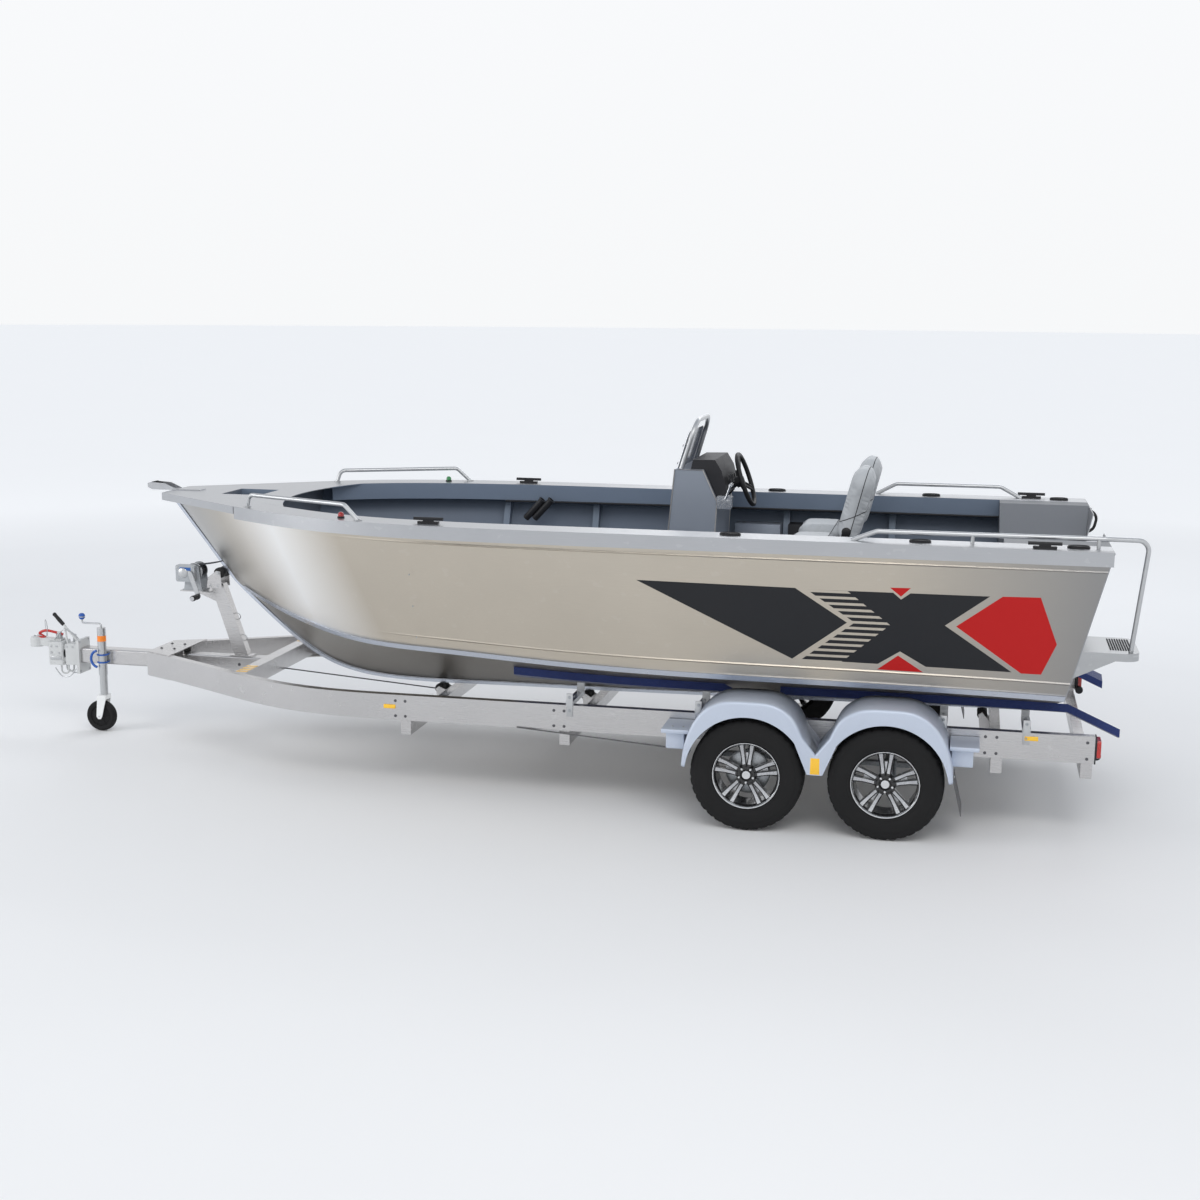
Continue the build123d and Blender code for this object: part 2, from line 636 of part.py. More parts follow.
def make_rigging_hose():
    """The motor's fuel and cable hose, looped out of the transom on the starboard quarter."""
    y, high, low, radius = -925.0, 1560.0, 1425.0, 9.0
    face = PLATE + 2 * FIT
    out = 78.0
    points = [(transom_x(high) - face, y, high), (transom_x(high) - out, y, high),
              (transom_x(low) - out, y, low), (transom_x(low) - face, y, low)]
    before = [(transom_x(z) - face, z) for z in (low - 60, high + 60)]
    before = plate_xz([*before, (200, high + 60), (200, low - 60)], y - 20, y + 20)
    return bent_tube(points, radius, 55) - before


# ---- Console ----
CONSOLE_REAR_TOP = CONSOLE_FRONT - 176
CONSOLE_KNUCKLE = (CONSOLE_FRONT - 267, CONSOLE_HEIGHT - 193)
CONSOLE_FEET = (CONSOLE_FRONT - 230, CONSOLE_FRONT + 88)
CONSOLE_OUTLINE = ((CONSOLE_FEET[1], FLOOR_HEIGHT + FIT), (CONSOLE_FRONT, CONSOLE_HEIGHT),
                   (CONSOLE_REAR_TOP, CONSOLE_HEIGHT), CONSOLE_KNUCKLE,
                   (CONSOLE_FEET[0], FLOOR_HEIGHT + FIT))
DASH_INSET = 45.0
WHEEL_CENTRE = Vector(CONSOLE_FRONT - 402, (CONSOLE_PORT + CONSOLE_STARBOARD) / 2, CONSOLE_HEIGHT - 83)
COLUMN = Vector(-math.cos(math.radians(WHEEL_TILT)), 0, math.sin(math.radians(WHEEL_TILT)))
HUB_BACK = 62.0             # how far the hub's back stands ahead of the wheel's plane


def make_console():
    """A folded aluminium pod, open underneath where it is bolted to the floor."""
    outer = plate_xz(CONSOLE_OUTLINE, CONSOLE_STARBOARD, CONSOLE_PORT)
    t = CONSOLE_SHEET
    foot = FLOOR_HEIGHT - 10
    inner = [(CONSOLE_FEET[1] - t, foot), (CONSOLE_FRONT - t, CONSOLE_HEIGHT - t),
             (CONSOLE_REAR_TOP + t, CONSOLE_HEIGHT - t), (CONSOLE_KNUCKLE[0] + t, CONSOLE_KNUCKLE[1]),
             (CONSOLE_FEET[0] + t, foot)]
    return outer - plate_xz(inner, CONSOLE_STARBOARD + t, CONSOLE_PORT - t)


def make_dash():
    """The black moulded hood over the sloping panel, and the steering column's boss."""
    x, z = CONSOLE_REAR_TOP, CONSOLE_HEIGHT
    knuckle_x, knuckle_z = CONSOLE_KNUCKLE
    slope = (x - knuckle_x) / (z - knuckle_z)
    foot_z = knuckle_z + 22
    outline = [(x + 82, z + FIT), (x + 70, z + 57), (x - 68, z + 60), (x - 110, z - 8),
               (x - 148, foot_z + 22), (knuckle_x + 22 * slope - 1, foot_z), (x - 1, z + FIT)]
    hood = plate_xz(outline, CONSOLE_STARBOARD + DASH_INSET, CONSOLE_PORT - DASH_INSET)
    boss_end = WHEEL_CENTRE - COLUMN * (HUB_BACK + FIT)
    boss = rod(boss_end - COLUMN * 60, boss_end, 28)
    return hood + boss


def make_steering_wheel():
    ring_radius = 13.0
    ring = WHEEL_DIAMETER / 2 - ring_radius
    plane = Plane(origin=WHEEL_CENTRE, x_dir=(0, 1, 0), z_dir=COLUMN)
    wheel = plane * Torus(ring, ring_radius)
    hub_back = WHEEL_CENTRE - COLUMN * HUB_BACK
    wheel = wheel + rod(hub_back, hub_back + COLUMN * 36, 36)
    across, up = plane.x_dir, plane.y_dir
    for angle in (90, 210, 330):
        turn = math.radians(angle + 180)
        arm = across * math.cos(turn) + up * math.sin(turn)
        wheel = wheel + rod(hub_back + COLUMN * 22 + arm * 20, WHEEL_CENTRE + arm * ring, 9)
    return wheel


def make_throttle():
    """The remote control box beside the wheel, with its lever."""
    x, z = CONSOLE_KNUCKLE
    y = CONSOLE_PORT + 15
    box = block((x - 95, x - FIT), (y - 56, y), (z - 42, z + 38))
    box = fillet(box.edges().filter_by(Axis.Y), 12)
    lever = rod((x - 50, y + 4, z), (x - 86, y + 12, z + 105), 7)
    pivot = rod((x - 50, y - 1, z), (x - 50, y + 12, z), 20)
    grip = rod((x - 86, y + 12, z + 105), (x - 86, y - 48, z + 105), 12)
    return box + lever + pivot + grip


SCREEN_LEAN = 0.3           # how far the hoop leans aft for each unit of its height
SCREEN_Y = (CONSOLE_STARBOARD + 40, CONSOLE_PORT - 30)
HOOP_RADIUS = 15.0
HOOP_X = CONSOLE_FRONT - 35


def make_windscreen_hoop():
    low = CONSOLE_HEIGHT + FIT
    port, starboard = SCREEN_Y[1], SCREEN_Y[0]
    high = low + SCREEN_HEIGHT
    points = [(HOOP_X, port, low), (HOOP_X - SCREEN_LEAN * SCREEN_HEIGHT, port - 15, high),
              (HOOP_X - SCREEN_LEAN * SCREEN_HEIGHT, starboard + 15, high), (HOOP_X, starboard, low)]
    hoop = bent_tube(points, HOOP_RADIUS, 120)
    below = block((0, 4000), (-HALF_BEAM, HALF_BEAM), (low - 100, low))
    return hoop - below


def make_windscreen():
    """The tinted screen, bolted to the hoop's forward side."""
    low = CONSOLE_HEIGHT + 2 * FIT + 2
    face = (HOOP_RADIUS + FIT) * math.hypot(1, SCREEN_LEAN)
    width = SCREEN_Y[1] - SCREEN_Y[0] + 10
    middle_y = (SCREEN_Y[0] + SCREEN_Y[1]) / 2
    plane = Plane(origin=(HOOP_X + face, middle_y, low), x_dir=(0, 1, 0), z_dir=(1, 0, SCREEN_LEAN))
    pane = Rectangle(width, SCREEN_HEIGHT * 0.8, align=(Align.CENTER, Align.MIN))
    pane = fillet(pane.vertices().group_by(Axis.Y)[-1], 60)
    return extrude(plane * pane, 5)


# ---- Seats ----
BACK_PIVOT = (SEAT_X - 125, CUSHION_TOP + BACK_PIVOT_HEIGHT)
BACK_BELOW_PIVOT = 78.0
ARM_THICKNESS = 6.0
PAN_REAR = BACK_PIVOT[0] - 30
CUSHION_REAR = BACK_PIVOT[0] + BACK_THICKNESS / 2 + 16
CUSHION_FRONT = CUSHION_REAR + SEAT_DEPTH - 30
SWIVEL_X = SEAT_X + 30


def make_pedestal(y):
    """A floor plate and a post, which the seat turns on."""
    top = SEAT_PAN_HEIGHT - 12
    low = FLOOR_HEIGHT + FIT
    base = Pos(SWIVEL_X, y, low) * Cylinder(115, 8, align=(Align.CENTER, Align.CENTER, Align.MIN))
    return base + rod((SWIVEL_X, y, low), (SWIVEL_X, y, top - FIT), 36)


def make_seat_base(y):
    """The black shell that holds the cushion, its swivel plate and the back's hinge arms."""
    half = SEAT_WIDTH / 2
    low = SEAT_PAN_HEIGHT
    pan = block((PAN_REAR, CUSHION_FRONT - 10), (y - half, y + half), (low, low + PAN_THICKNESS))
    pan = fillet(pan.edges().filter_by(Axis.Z), 30)
    plate = Pos(SWIVEL_X, y, low - 12) * Cylinder(85, 13, align=(Align.CENTER, Align.CENTER, Align.MIN))
    base = pan + plate
    x, z = BACK_PIVOT
    for y_low in (y - half, y + half - ARM_THICKNESS):
        outline = [(PAN_REAR + 35, low + 5), (x + 55, low + 5), (x + 24, z), (x + 12, z + 22),
                   (x - 12, z + 22), (x - 24, z)]
        base = base + plate_xz(outline, y_low, y_low + ARM_THICKNESS)
    return base


def make_cushion(y):
    half = SEAT_WIDTH / 2 - ARM_THICKNESS - 6
    low = SEAT_PAN_HEIGHT + PAN_THICKNESS + FIT
    pad = block((CUSHION_REAR, CUSHION_FRONT), (y - half, y + half), (low, CUSHION_TOP))
    pad = fillet(pad.edges().filter_by(Axis.Z), 45)
    return fillet(pad.edges().group_by(Axis.Z)[-1], 32)


def make_backrest(y):
    """The padded back, upright at rest, which folds forward over the cushion."""
    half = SEAT_WIDTH / 2 - ARM_THICKNESS - 6
    x, z = BACK_PIVOT
    t = BACK_THICKNESS / 2
    foot = z - BACK_BELOW_PIVOT
    back = block((x - t, x + t), (y - half, y + half), (foot, foot + BACK_HEIGHT))
    top = back.edges().filter_by(Axis.X).group_by(Axis.Z)[-1]
    back = fillet(top, 120)
    back = fillet(back.edges().filter_by(Axis.X).group_by(Axis.Z)[0], 30)
    front = back.faces().sort_by(Axis.X)[-1].edges()
    back = fillet(front, 34)
    rear = back.faces().sort_by(Axis.X)[0].edges()
    back = fillet(rear, 34)
    for side in (-1, 1):
        back = back + rod((x, y + side * (half - 5), z), (x, y + side * (half + 6 - FIT), z), 12)
    hinge = Axis((x, y, z), (0, 1, 0))
    return back.rotate(hinge, -BACK_LEAN)


# ---- Trailer frame ----
BEAM_SHARES = ((0.15, 1.0), (0.3, 1.0), (0.44, 1.0), (0.56, 1.0), (0.66, 0.998), (0.74, 0.976), (0.8, 0.883),
               (0.868, 0.668), (0.934, 0.426), (1.0, 0.204))
BEAM_LENGTH = BEAM_FRONT - BEAM_REAR
BEAM_CURVE = Spline((BEAM_REAR, BEAM_HALF_SPACING, BEAM_BOTTOM),
                    *[(BEAM_REAR + BEAM_LENGTH * along, BEAM_HALF_SPACING * out, BEAM_BOTTOM)
                      for along, out in BEAM_SHARES])
BEAM_WEB = 8.0
CROSS_TOP = CROSS_BOTTOM + CROSS_HEIGHT
CROSS_WIDTH = 60.0
CROSS_PLACES = (3650.0, 2700.0, 300.0, -170.0)
KEEL_ROLLER_PLACES = (3650.0, 2700.0, 300.0)
ROLLER_RADIUS = 30.0
ROLLER_GAP = 0.8            # between the rollers and the keel bar
ROLLER_HALF = 60.0


def make_side_beam():
    """An aluminium channel, open inwards, bent in towards the drawbar."""
    top, web, flange = BEAM_HEIGHT, BEAM_WEB, BEAM_WIDTH
    channel = ((0, 0), (0, top), (-flange, top), (-flange, top - web), (-web, top - web), (-web, web),
               (-flange, web), (-flange, 0))
    return along_curve(BEAM_CURVE, channel, [i / 24 for i in range(25)])


def beam_inside(x):
    """Half the clear width between the side beams' inner edges."""
    share = share_at_x(BEAM_CURVE, x)
    side = outward(BEAM_CURVE, share)
    return BEAM_CURVE.position_at(share).Y - BEAM_WIDTH / side.Y - FIT


def roller_centre(cross_x):
    x = cross_x + CROSS_WIDTH + ROLLER_RADIUS + 14
    return Vector(x, 0, at_x(KEEL, x).Z - KEEL_BAR_DEPTH - ROLLER_GAP - ROLLER_RADIUS)


def make_cross_members():
    members = []
    for x in CROSS_PLACES:
        half = beam_inside(x) + BEAM_WIDTH
        member = block((x, x + CROSS_WIDTH), (-half, half), (CROSS_BOTTOM, CROSS_TOP))
        for side in (-1, 1):
            end = sorted((side * (half - BEAM_WIDTH), side * half))
            member = member + block((x, x + CROSS_WIDTH), end, (CROSS_TOP - 1, BEAM_BOTTOM - FIT))
        if x in KEEL_ROLLER_PLACES:
            centre = roller_centre(x)
            for side in (-1, 1):
                cheek = sorted((side * (ROLLER_HALF + FIT), side * (ROLLER_HALF + 6)))
                foot = x + CROSS_WIDTH - 1
                outline = [(foot, CROSS_BOTTOM + 5), (centre.X + 10, CROSS_BOTTOM + 14),
                           (centre.X + 22, centre.Z), (centre.X, centre.Z + 16), (foot, CROSS_TOP)]
                member = member + plate_xz(outline, *cheek)
        members.append(member)
    # The bow cross member closes the drawbar's rear end, between the beams.
    rear, front = DRAWBAR_REAR - 80, DRAWBAR_REAR - FIT
    outline = [(rear, beam_inside(rear)), (front, beam_inside(front)), (front, -beam_inside(front)),
               (rear, -beam_inside(rear))]
    members.append(plate_xy(outline, BEAM_TOP - 105, BEAM_TOP))
    # The nose box ties both beams to the drawbar, over and under them.
    rear, front = BEAM_FRONT - 200, BEAM_FRONT - 5
    rear_y, front_y = (beam_inside(x) + BEAM_WIDTH - 4 for x in (rear, front))
    outline = [(rear, rear_y), (front, front_y), (front, -front_y), (rear, -rear_y)]
    nose = plate_xy(outline, BEAM_TOP + FIT, BEAM_TOP + 6)
    nose = nose + plate_xy(outline, BEAM_BOTTOM - 6, BEAM_BOTTOM - FIT)
    for side in (-1, 1):
        web = sorted((side * (DRAWBAR_HALF + FIT), side * (DRAWBAR_HALF + 8)))
        nose = nose + block((rear + 10, front), web, (BEAM_BOTTOM - 4, BEAM_TOP + 4))
    members.append(nose)
    return members


def make_drawbar():
    half, wall = DRAWBAR_HALF, 6
    outer = block((DRAWBAR_REAR, DRAWBAR_FRONT), (-half, half), (DRAWBAR_BOTTOM, DRAWBAR_TOP))
    outer = fillet(outer.edges().filter_by(Axis.X), 10)
    inner = block((DRAWBAR_REAR - 5, DRAWBAR_FRONT + 5), (wall - half, half - wall),
                  (DRAWBAR_BOTTOM + wall, DRAWBAR_TOP - wall))
    return outer - inner


def make_coupling():
    """The brake coupling: a bolted flange, the override housing, the ball socket and hand brake."""
    x = DRAWBAR_FRONT + FIT
    middle = (DRAWBAR_BOTTOM + DRAWBAR_TOP) / 2
    nose_top = DRAWBAR_TOP + 48
    socket_x = DRAWBAR_FRONT + COUPLING_LENGTH - 46
    body = block((x, x + 20), (-72, 72), (middle - 120, middle + 105))
    body = body + block((x + 19, x + 110), (-52, 52), (middle - 68, middle + 72))
    body = body + block((x + 109, x + 128), (-40, 40), (middle - 50, middle + 60))
    housing = block((x + 127, x + 232), (-60, 60), (middle - 72, middle + 84))
    body = body + fillet(housing.edges().filter_by(Axis.Z), 14)
    neck = [(x + 180, nose_top - 62), (socket_x, nose_top - 46), (socket_x, nose_top), (x + 150, nose_top)]
    body = body + plate_xz(neck, -26, 26)
    cup = Pos(socket_x, 0, nose_top - 60) * Cylinder(44, 68, align=(Align.CENTER, Align.CENTER, Align.MIN))
    body = body + fillet(cup.edges().group_by(Axis.Z)[-1], 20)
    body = body - rod((socket_x, 0, nose_top - 61), (socket_x, 0, nose_top - 20), BALL_RADIUS)
    lever_foot = (x + 12, 40, middle + 84)
    body = body + block((x + 2, x + 34), (30, 52), (middle + 60, middle + 98))
    body = body + rod(lever_foot, (x + 190, 40, middle + 275), 8)
    body = body + rod((x + 95, 40, middle + 60), (x + 112, 40, middle + 190), 6)
    for side in (-1, 1):
        shackle = [(x + 100, side * 34, middle - 60), (x + 104, side * 34, middle - 130),
                   (x + 152, side * 34, middle - 130), (x + 156, side * 34, middle - 60)]
        body = body + bent_tube(shackle, 6, 20)
    return body


# ---- Jockey stand ----
JOCKEY_TOP = DRAWBAR_TOP + 155
JOCKEY_TUBE_FOOT = DRAWBAR_BOTTOM - 60
JOCKEY_WALL = 3.0
STEM_CLEARANCE = 0.2
FORK_TOP = 246.0
JOCKEY_AXLE = (JOCKEY_X + JOCKEY_TRAIL, JOCKEY_WHEEL_RADIUS)


def make_jockey_tube():
    """The outer tube in its clamp on the drawbar's side, with the crank on top."""
    low, high = JOCKEY_TUBE_FOOT, JOCKEY_TOP
    radius = JOCKEY_TUBE_RADIUS
    outer = rod((JOCKEY_X, JOCKEY_Y, low), (JOCKEY_X, JOCKEY_Y, high), radius)
    inner = rod((JOCKEY_X, JOCKEY_Y, low - 5), (JOCKEY_X, JOCKEY_Y, high - 8), radius - JOCKEY_WALL)
    clamp = block((JOCKEY_X - 45, JOCKEY_X + 45), (DRAWBAR_HALF + FIT, JOCKEY_Y - radius + 5),
                  (DRAWBAR_BOTTOM + 8, DRAWBAR_TOP - 8))
    crank = bent_tube([(JOCKEY_X, JOCKEY_Y, high - 4), (JOCKEY_X, JOCKEY_Y, high + 26),
                       (JOCKEY_X + 135, JOCKEY_Y, high + 26), (JOCKEY_X + 135, JOCKEY_Y, high + 52)], 6, 12)
    knob = Pos(JOCKEY_X + 135, JOCKEY_Y, high + 70) * Sphere(21)
    return (outer + clamp - inner) + crank + knob


def make_jockey_stem():
    top = JOCKEY_TOP - 8 - JOCKEY_TRAVEL - 20
    radius = JOCKEY_TUBE_RADIUS - JOCKEY_WALL - STEM_CLEARANCE
    return rod((JOCKEY_X, JOCKEY_Y, FORK_TOP), (JOCKEY_X, JOCKEY_Y, top), radius)


def make_jockey_fork():
    """The castor fork under the stem, trailing its wheel."""
    crown_low = 2 * JOCKEY_WHEEL_RADIUS + 14
    half = JOCKEY_WHEEL_WIDTH / 2 + 5
    crown = block((JOCKEY_X - 30, JOCKEY_X + 40), (JOCKEY_Y - half - 6, JOCKEY_Y + half + 6),
                  (crown_low, FORK_TOP - FIT))
    fork = fillet(crown.edges().filter_by(Axis.Z), 12)
    axle_x, axle_z = JOCKEY_AXLE
    for low in (JOCKEY_Y - half - 6, JOCKEY_Y + half):
        leg = [(JOCKEY_X - 26, crown_low + 2), (JOCKEY_X + 34, crown_low + 2), (axle_x + 20, axle_z),
               (axle_x + 10, axle_z - 18), (axle_x - 10, axle_z - 18), (axle_x - 20, axle_z)]
        fork = fork + plate_xz(leg, low, low + 6)
    return fork + rod((axle_x, JOCKEY_Y - half - 8, axle_z), (axle_x, JOCKEY_Y + half + 8, axle_z), 8)


def make_jockey_wheel():
    axle_x, axle_z = JOCKEY_AXLE
    half = JOCKEY_WHEEL_WIDTH / 2
    wheel = rod((axle_x, JOCKEY_Y - half, axle_z), (axle_x, JOCKEY_Y + half, axle_z), JOCKEY_WHEEL_RADIUS)
    wheel = fillet(wheel.edges(), 16)
    return wheel - rod((axle_x, JOCKEY_Y - 60, axle_z), (axle_x, JOCKEY_Y + 60, axle_z), 8 + FIT)


# ---- Winch ----
STEM_FOOT = KEEL.position_at(1)
STEM_HEAD = SHEER.position_at(1)
STEM_ALONG = Vector(STEM_HEAD.X - STEM_FOOT.X, 0, STEM_HEAD.Z - STEM_FOOT.Z).normalized()
STEM_DOWN = Vector(STEM_ALONG.Z, 0, -STEM_ALONG.X)
BOW_ROLLER_RADIUS = 35.0
BOW_ROLLER = STEM_FOOT + STEM_ALONG * 55 + STEM_DOWN * (KEEL_BAR_DEPTH + 3 * ROLLER_GAP + BOW_ROLLER_RADIUS)
POST_TOP = (BOW_ROLLER.X + 42, BOW_ROLLER.Z - 72)
POST_HALF = 30.0
DRUM = (BOW_ROLLER.X + 178, BOW_ROLLER.Z + 2)
DRUM_HALF = 42.0


def make_winch_post():
    """The post that leans forward over the drawbar, with the bow roller's cheeks and winch shelf."""
    x, z = POST_TOP
    foot = DRAWBAR_TOP + FIT
    post = plate_xz([(x - 122, foot), (x - 215, foot), (x - 55, z), (x + 35, z)], -POST_HALF, POST_HALF)
    post = post + block((x - 240, x - 90), (-POST_HALF - 15, POST_HALF + 15), (foot, foot + 8))
    roller_x, roller_z = BOW_ROLLER.X, BOW_ROLLER.Z
    cheek = [(x - 60, z - 25), (x + 40, z - 25), (x + 30, z + 45), (roller_x + 14, roller_z + 16),
             (roller_x - 14, roller_z + 12)]
    for side in (-1, 1):
        post = post + plate_xz(cheek, *sorted((side * (ROLLER_HALF + FIT), side * (ROLLER_HALF + 6))))
    post = post + block((x - 45, x + 35), (-ROLLER_HALF - 6, ROLLER_HALF + 6), (z - 25, z - 12))
    shelf_z = DRUM[1] - 122
    shelf = block((x + 20, DRUM[0] + 95), (-ROLLER_HALF, ROLLER_HALF), (shelf_z - 8, shelf_z))
    brace = plate_xz([(x - 60, z - 150), (x + 20, shelf_z - 7), (DRUM[0] + 40, shelf_z - 7)], -4, 4)
    return post + shelf + brace


def make_winch():
    """The winch's cheeks and gear case, bolted on the post's shelf."""
    x, z = DRUM
    low = z - 122 + FIT
    winch = block((x - 60, x + 80), (-DRUM_HALF - 12, DRUM_HALF + 12), (low, low + 6))
    for side in (-1, 1):
        cheek = plate_xz([(x - 55, low + 1), (x + 70, low + 1), (x + 45, z + 40), (x - 35, z + 40)],
                         *sorted((side * (DRUM_HALF + 6), side * (DRUM_HALF + 12))))
        winch = winch + cheek
    case = block((x - 25, x + 105), (DRUM_HALF + 11, DRUM_HALF + 50), (z - 62, z + 48))
    winch = winch + fillet(case.edges().filter_by(Axis.Y), 14)
    shaft = rod((x, -200, z), (x, 200, z), 12 + FIT)
    return winch - shaft


def make_winch_drum():
    """The drum on its shaft, with the crank beside the gear case."""
    x, z = DRUM
    drum = rod((x, -DRUM_HALF, z), (x, DRUM_HALF, z), 28)
    for side in (-1, 1):
        drum = drum + rod((x, side * (DRUM_HALF - 5), z), (x, side * DRUM_HALF, z), 55)
    crank_y = DRUM_HALF + 62
    drum = drum + rod((x, -DRUM_HALF - 18, z), (x, crank_y + 6, z), 12)
    end_x, end_z = x - 55, z - 150
    arm = prism([(x - 14, crank_y, z + 6), (x + 14, crank_y, z - 4), (end_x + 14, crank_y, end_z - 6),
                 (end_x - 14, crank_y, end_z + 6)], (0, 6, 0))
    return drum + arm + rod((end_x, crank_y, end_z), (end_x, crank_y + 95, end_z), 14)


def make_rollers():
    """The black rollers under the keel, at the stem and in the bowsprit."""
    half = ROLLER_HALF
    rollers = []
    for place in KEEL_ROLLER_PLACES:
        centre = roller_centre(place)
        rollers.append(rod((centre.X, -half, centre.Z), (centre.X, half, centre.Z), ROLLER_RADIUS))
    x, z = BOW_ROLLER.X, BOW_ROLLER.Z
    rollers.append(rod((x, -half, z), (x, half, z), BOW_ROLLER_RADIUS))
    x, z = HULL_LENGTH + SPRIT_REACH - 30, FOREDECK_TOP + 32
    half = SPRIT_HALF_WIDTH - FIT
    rollers.append(rod((x, -half, z), (x, half, z), SPRIT_ROLLER_RADIUS))
    return rollers


# ---- Bunks ----
# Each bunk: the X of its ends, and the X and drop of the tail that is bent down.
BUNKS = ((1850.0, 3090.0, 1700.0, 75.0), (-40.0, 1530.0, -320.0, 125.0))
BUNK_POSTS = (2700.0, 1960.0, 620.0, 180.0)
BUNK_CLEARANCE = 0.95
BUNK_STATIONS = 8


def bunk_section(x, drop=0.0):
    side_x = max(x, 21.0)
    section = []
    for y in (BUNK_Y - BUNK_WIDTH / 2, BUNK_Y + BUNK_WIDTH / 2):
        section.append((x, y, bottom_height(side_x, y) - BUNK_CLEARANCE - drop))
    return section + [(px, py, pz - BUNK_THICKNESS) for px, py, pz in reversed(section)]


def make_bunk(aft, front, tail_x, tail_drop):
    step = (front - aft) / BUNK_STATIONS
    straight = loft([bunk_section(aft + step * i) for i in range(BUNK_STATIONS + 1)], ruled=True)
    tail = loft([bunk_section(aft), bunk_section(tail_x, tail_drop)], ruled=True)
    return straight + tail


def make_bunk_posts():
    """Clamped brackets that carry the bunks from the side beams' tops."""
    posts = []
    arm_low, arm_high = BEAM_TOP + FIT, BEAM_TOP + 26
    for x in BUNK_POSTS:
        under = min(bottom_height(x + dx, BUNK_Y - 16) for dx in (-22, 22))
        under = under - BUNK_CLEARANCE - BUNK_THICKNESS - 0.8
        arm = block((x - 22, x + 22), (BUNK_Y - 16, BEAM_HALF_SPACING), (arm_low, arm_high))
        riser = block((x - 22, x + 22), (BUNK_Y - 16, BUNK_Y - 8), (arm_low, max(under, arm_high + 4)))
        posts.append(arm + riser)
    return both_sides(*posts)


# ---- Running gear ----
GUARD_INNER = BEAM_HALF_SPACING + 0.5
GUARD_SHEET = 5.0
ARCH_HALF = ((352, 40), (312, 235), (218, 368), (92, 415))


def make_mudguard():
    """Both wheels' arches in one joined guard, with its outer skirt and the step before it."""
    half_gap = AXLE_SPACING / 2
    z0 = AXLE_HEIGHT
    front = [(AXLE_X + half_gap + dx, z0 + dz) for dx, dz in ARCH_HALF]
    front += [(AXLE_X + half_gap - dx, z0 + dz) for dx, dz in reversed(ARCH_HALF[2:])]
    front.append((AXLE_X + half_gap - 300, z0 + 240))
    outline = front + [(AXLE_X, z0 + 150)] + [(2 * AXLE_X - x, z) for x, z in reversed(front)]
    t = GUARD_SHEET
    inner = offset_outline(outline, -t)
    y_low, y_high = GUARD_INNER, GUARD_INNER + GUARD_WIDTH
    sheet = plate_xz(outline + inner[::-1], y_low, y_high)
    skirt = plate_xz(outline, y_high - t, y_high)
    for axle in AXLES:
        skirt = skirt - rod((axle, y_high - 40, z0), (axle, y_high + 40, z0), TYRE_RADIUS + 24)
    step_x = outline[0][0]
    step = plate_xz([(step_x - 34, z0 + 196), (step_x + 128, z0 + 218), (step_x + 128, z0 + 224),
                     (step_x - 40, z0 + 224)], y_low, y_high - 70)
    tab_y = BEAM_HALF_SPACING + 30
    tab = block((step_x + 96, step_x + 126), (tab_y, tab_y + 6), (z0 + 38, z0 + 222))
    return sheet + skirt + step + tab


def offset_outline(points, distance):
    """An open outline moved sideways, with its corners mitred."""
    moved = []
    for i, (x, z) in enumerate(points):
        before = points[max(i - 1, 0)]
        after = points[min(i + 1, len(points) - 1)]
        normals = []
        for start, end in ((before, (x, z)), ((x, z), after)):
            dx, dz = end[0] - start[0], end[1] - start[1]
            length = math.hypot(dx, dz)
            if length:
                normals.append((dz / length, -dx / length))
        nx = sum(n[0] for n in normals) / len(normals)
        nz = sum(n[1] for n in normals) / len(normals)
        scale = distance / (nx * nx + nz * nz)
        moved.append((x + nx * scale, z + nz * scale))
    return moved


def make_axles():
    """Two square axles under leaf springs, with the hangers up to the side beams."""
    axles = None
    half = 22.0
    spring_y = BEAM_HALF_SPACING - 25
    for axle in AXLES:
        shoulder, end = TRACK / 2 - 125, TRACK / 2 + 30
        bar = block((axle - half, axle + half), (-shoulder, shoulder), (AXLE_HEIGHT - half, AXLE_HEIGHT + half))
        bar = bar + rod((axle, -end, AXLE_HEIGHT), (axle, end, AXLE_HEIGHT), SPINDLE_RADIUS)
        axles = bar if axles is None else axles + bar
    top = AXLE_HEIGHT + half
    for side in (-1, 1):
        y = sorted((side * (spring_y - 20), side * (spring_y + 20)))
        for axle in AXLES:
            axles = axles + block((axle - 270, axle + 270), y, (top - 1, top + 24))
            axles = axles + block((axle - 45, axle + 45), y, (AXLE_HEIGHT - half - 12, top + 34))
        for x in (AXLES[0] + 262, AXLE_X, AXLES[1] - 262):
            reach = 115 if x == AXLE_X else 16
            axles = axles + block((x - reach, x + reach), y, (top + 23, top + 40))
            axles = axles + block((x - 16, x + 16), y, (top + 23, BEAM_BOTTOM - FIT))
    return axles


def make_tyre(axle, side):
    y = side * TRACK / 2
    half = TYRE_WIDTH / 2
    tyre = rod((axle, y - half, AXLE_HEIGHT), (axle, y + half, AXLE_HEIGHT), TYRE_RADIUS)
    tyre = fillet(tyre.edges(), 30)
    return tyre - rod((axle, y - 150, AXLE_HEIGHT), (axle, y + 150, AXLE_HEIGHT), RIM_RADIUS)


SPOKE_PAIRS = 5


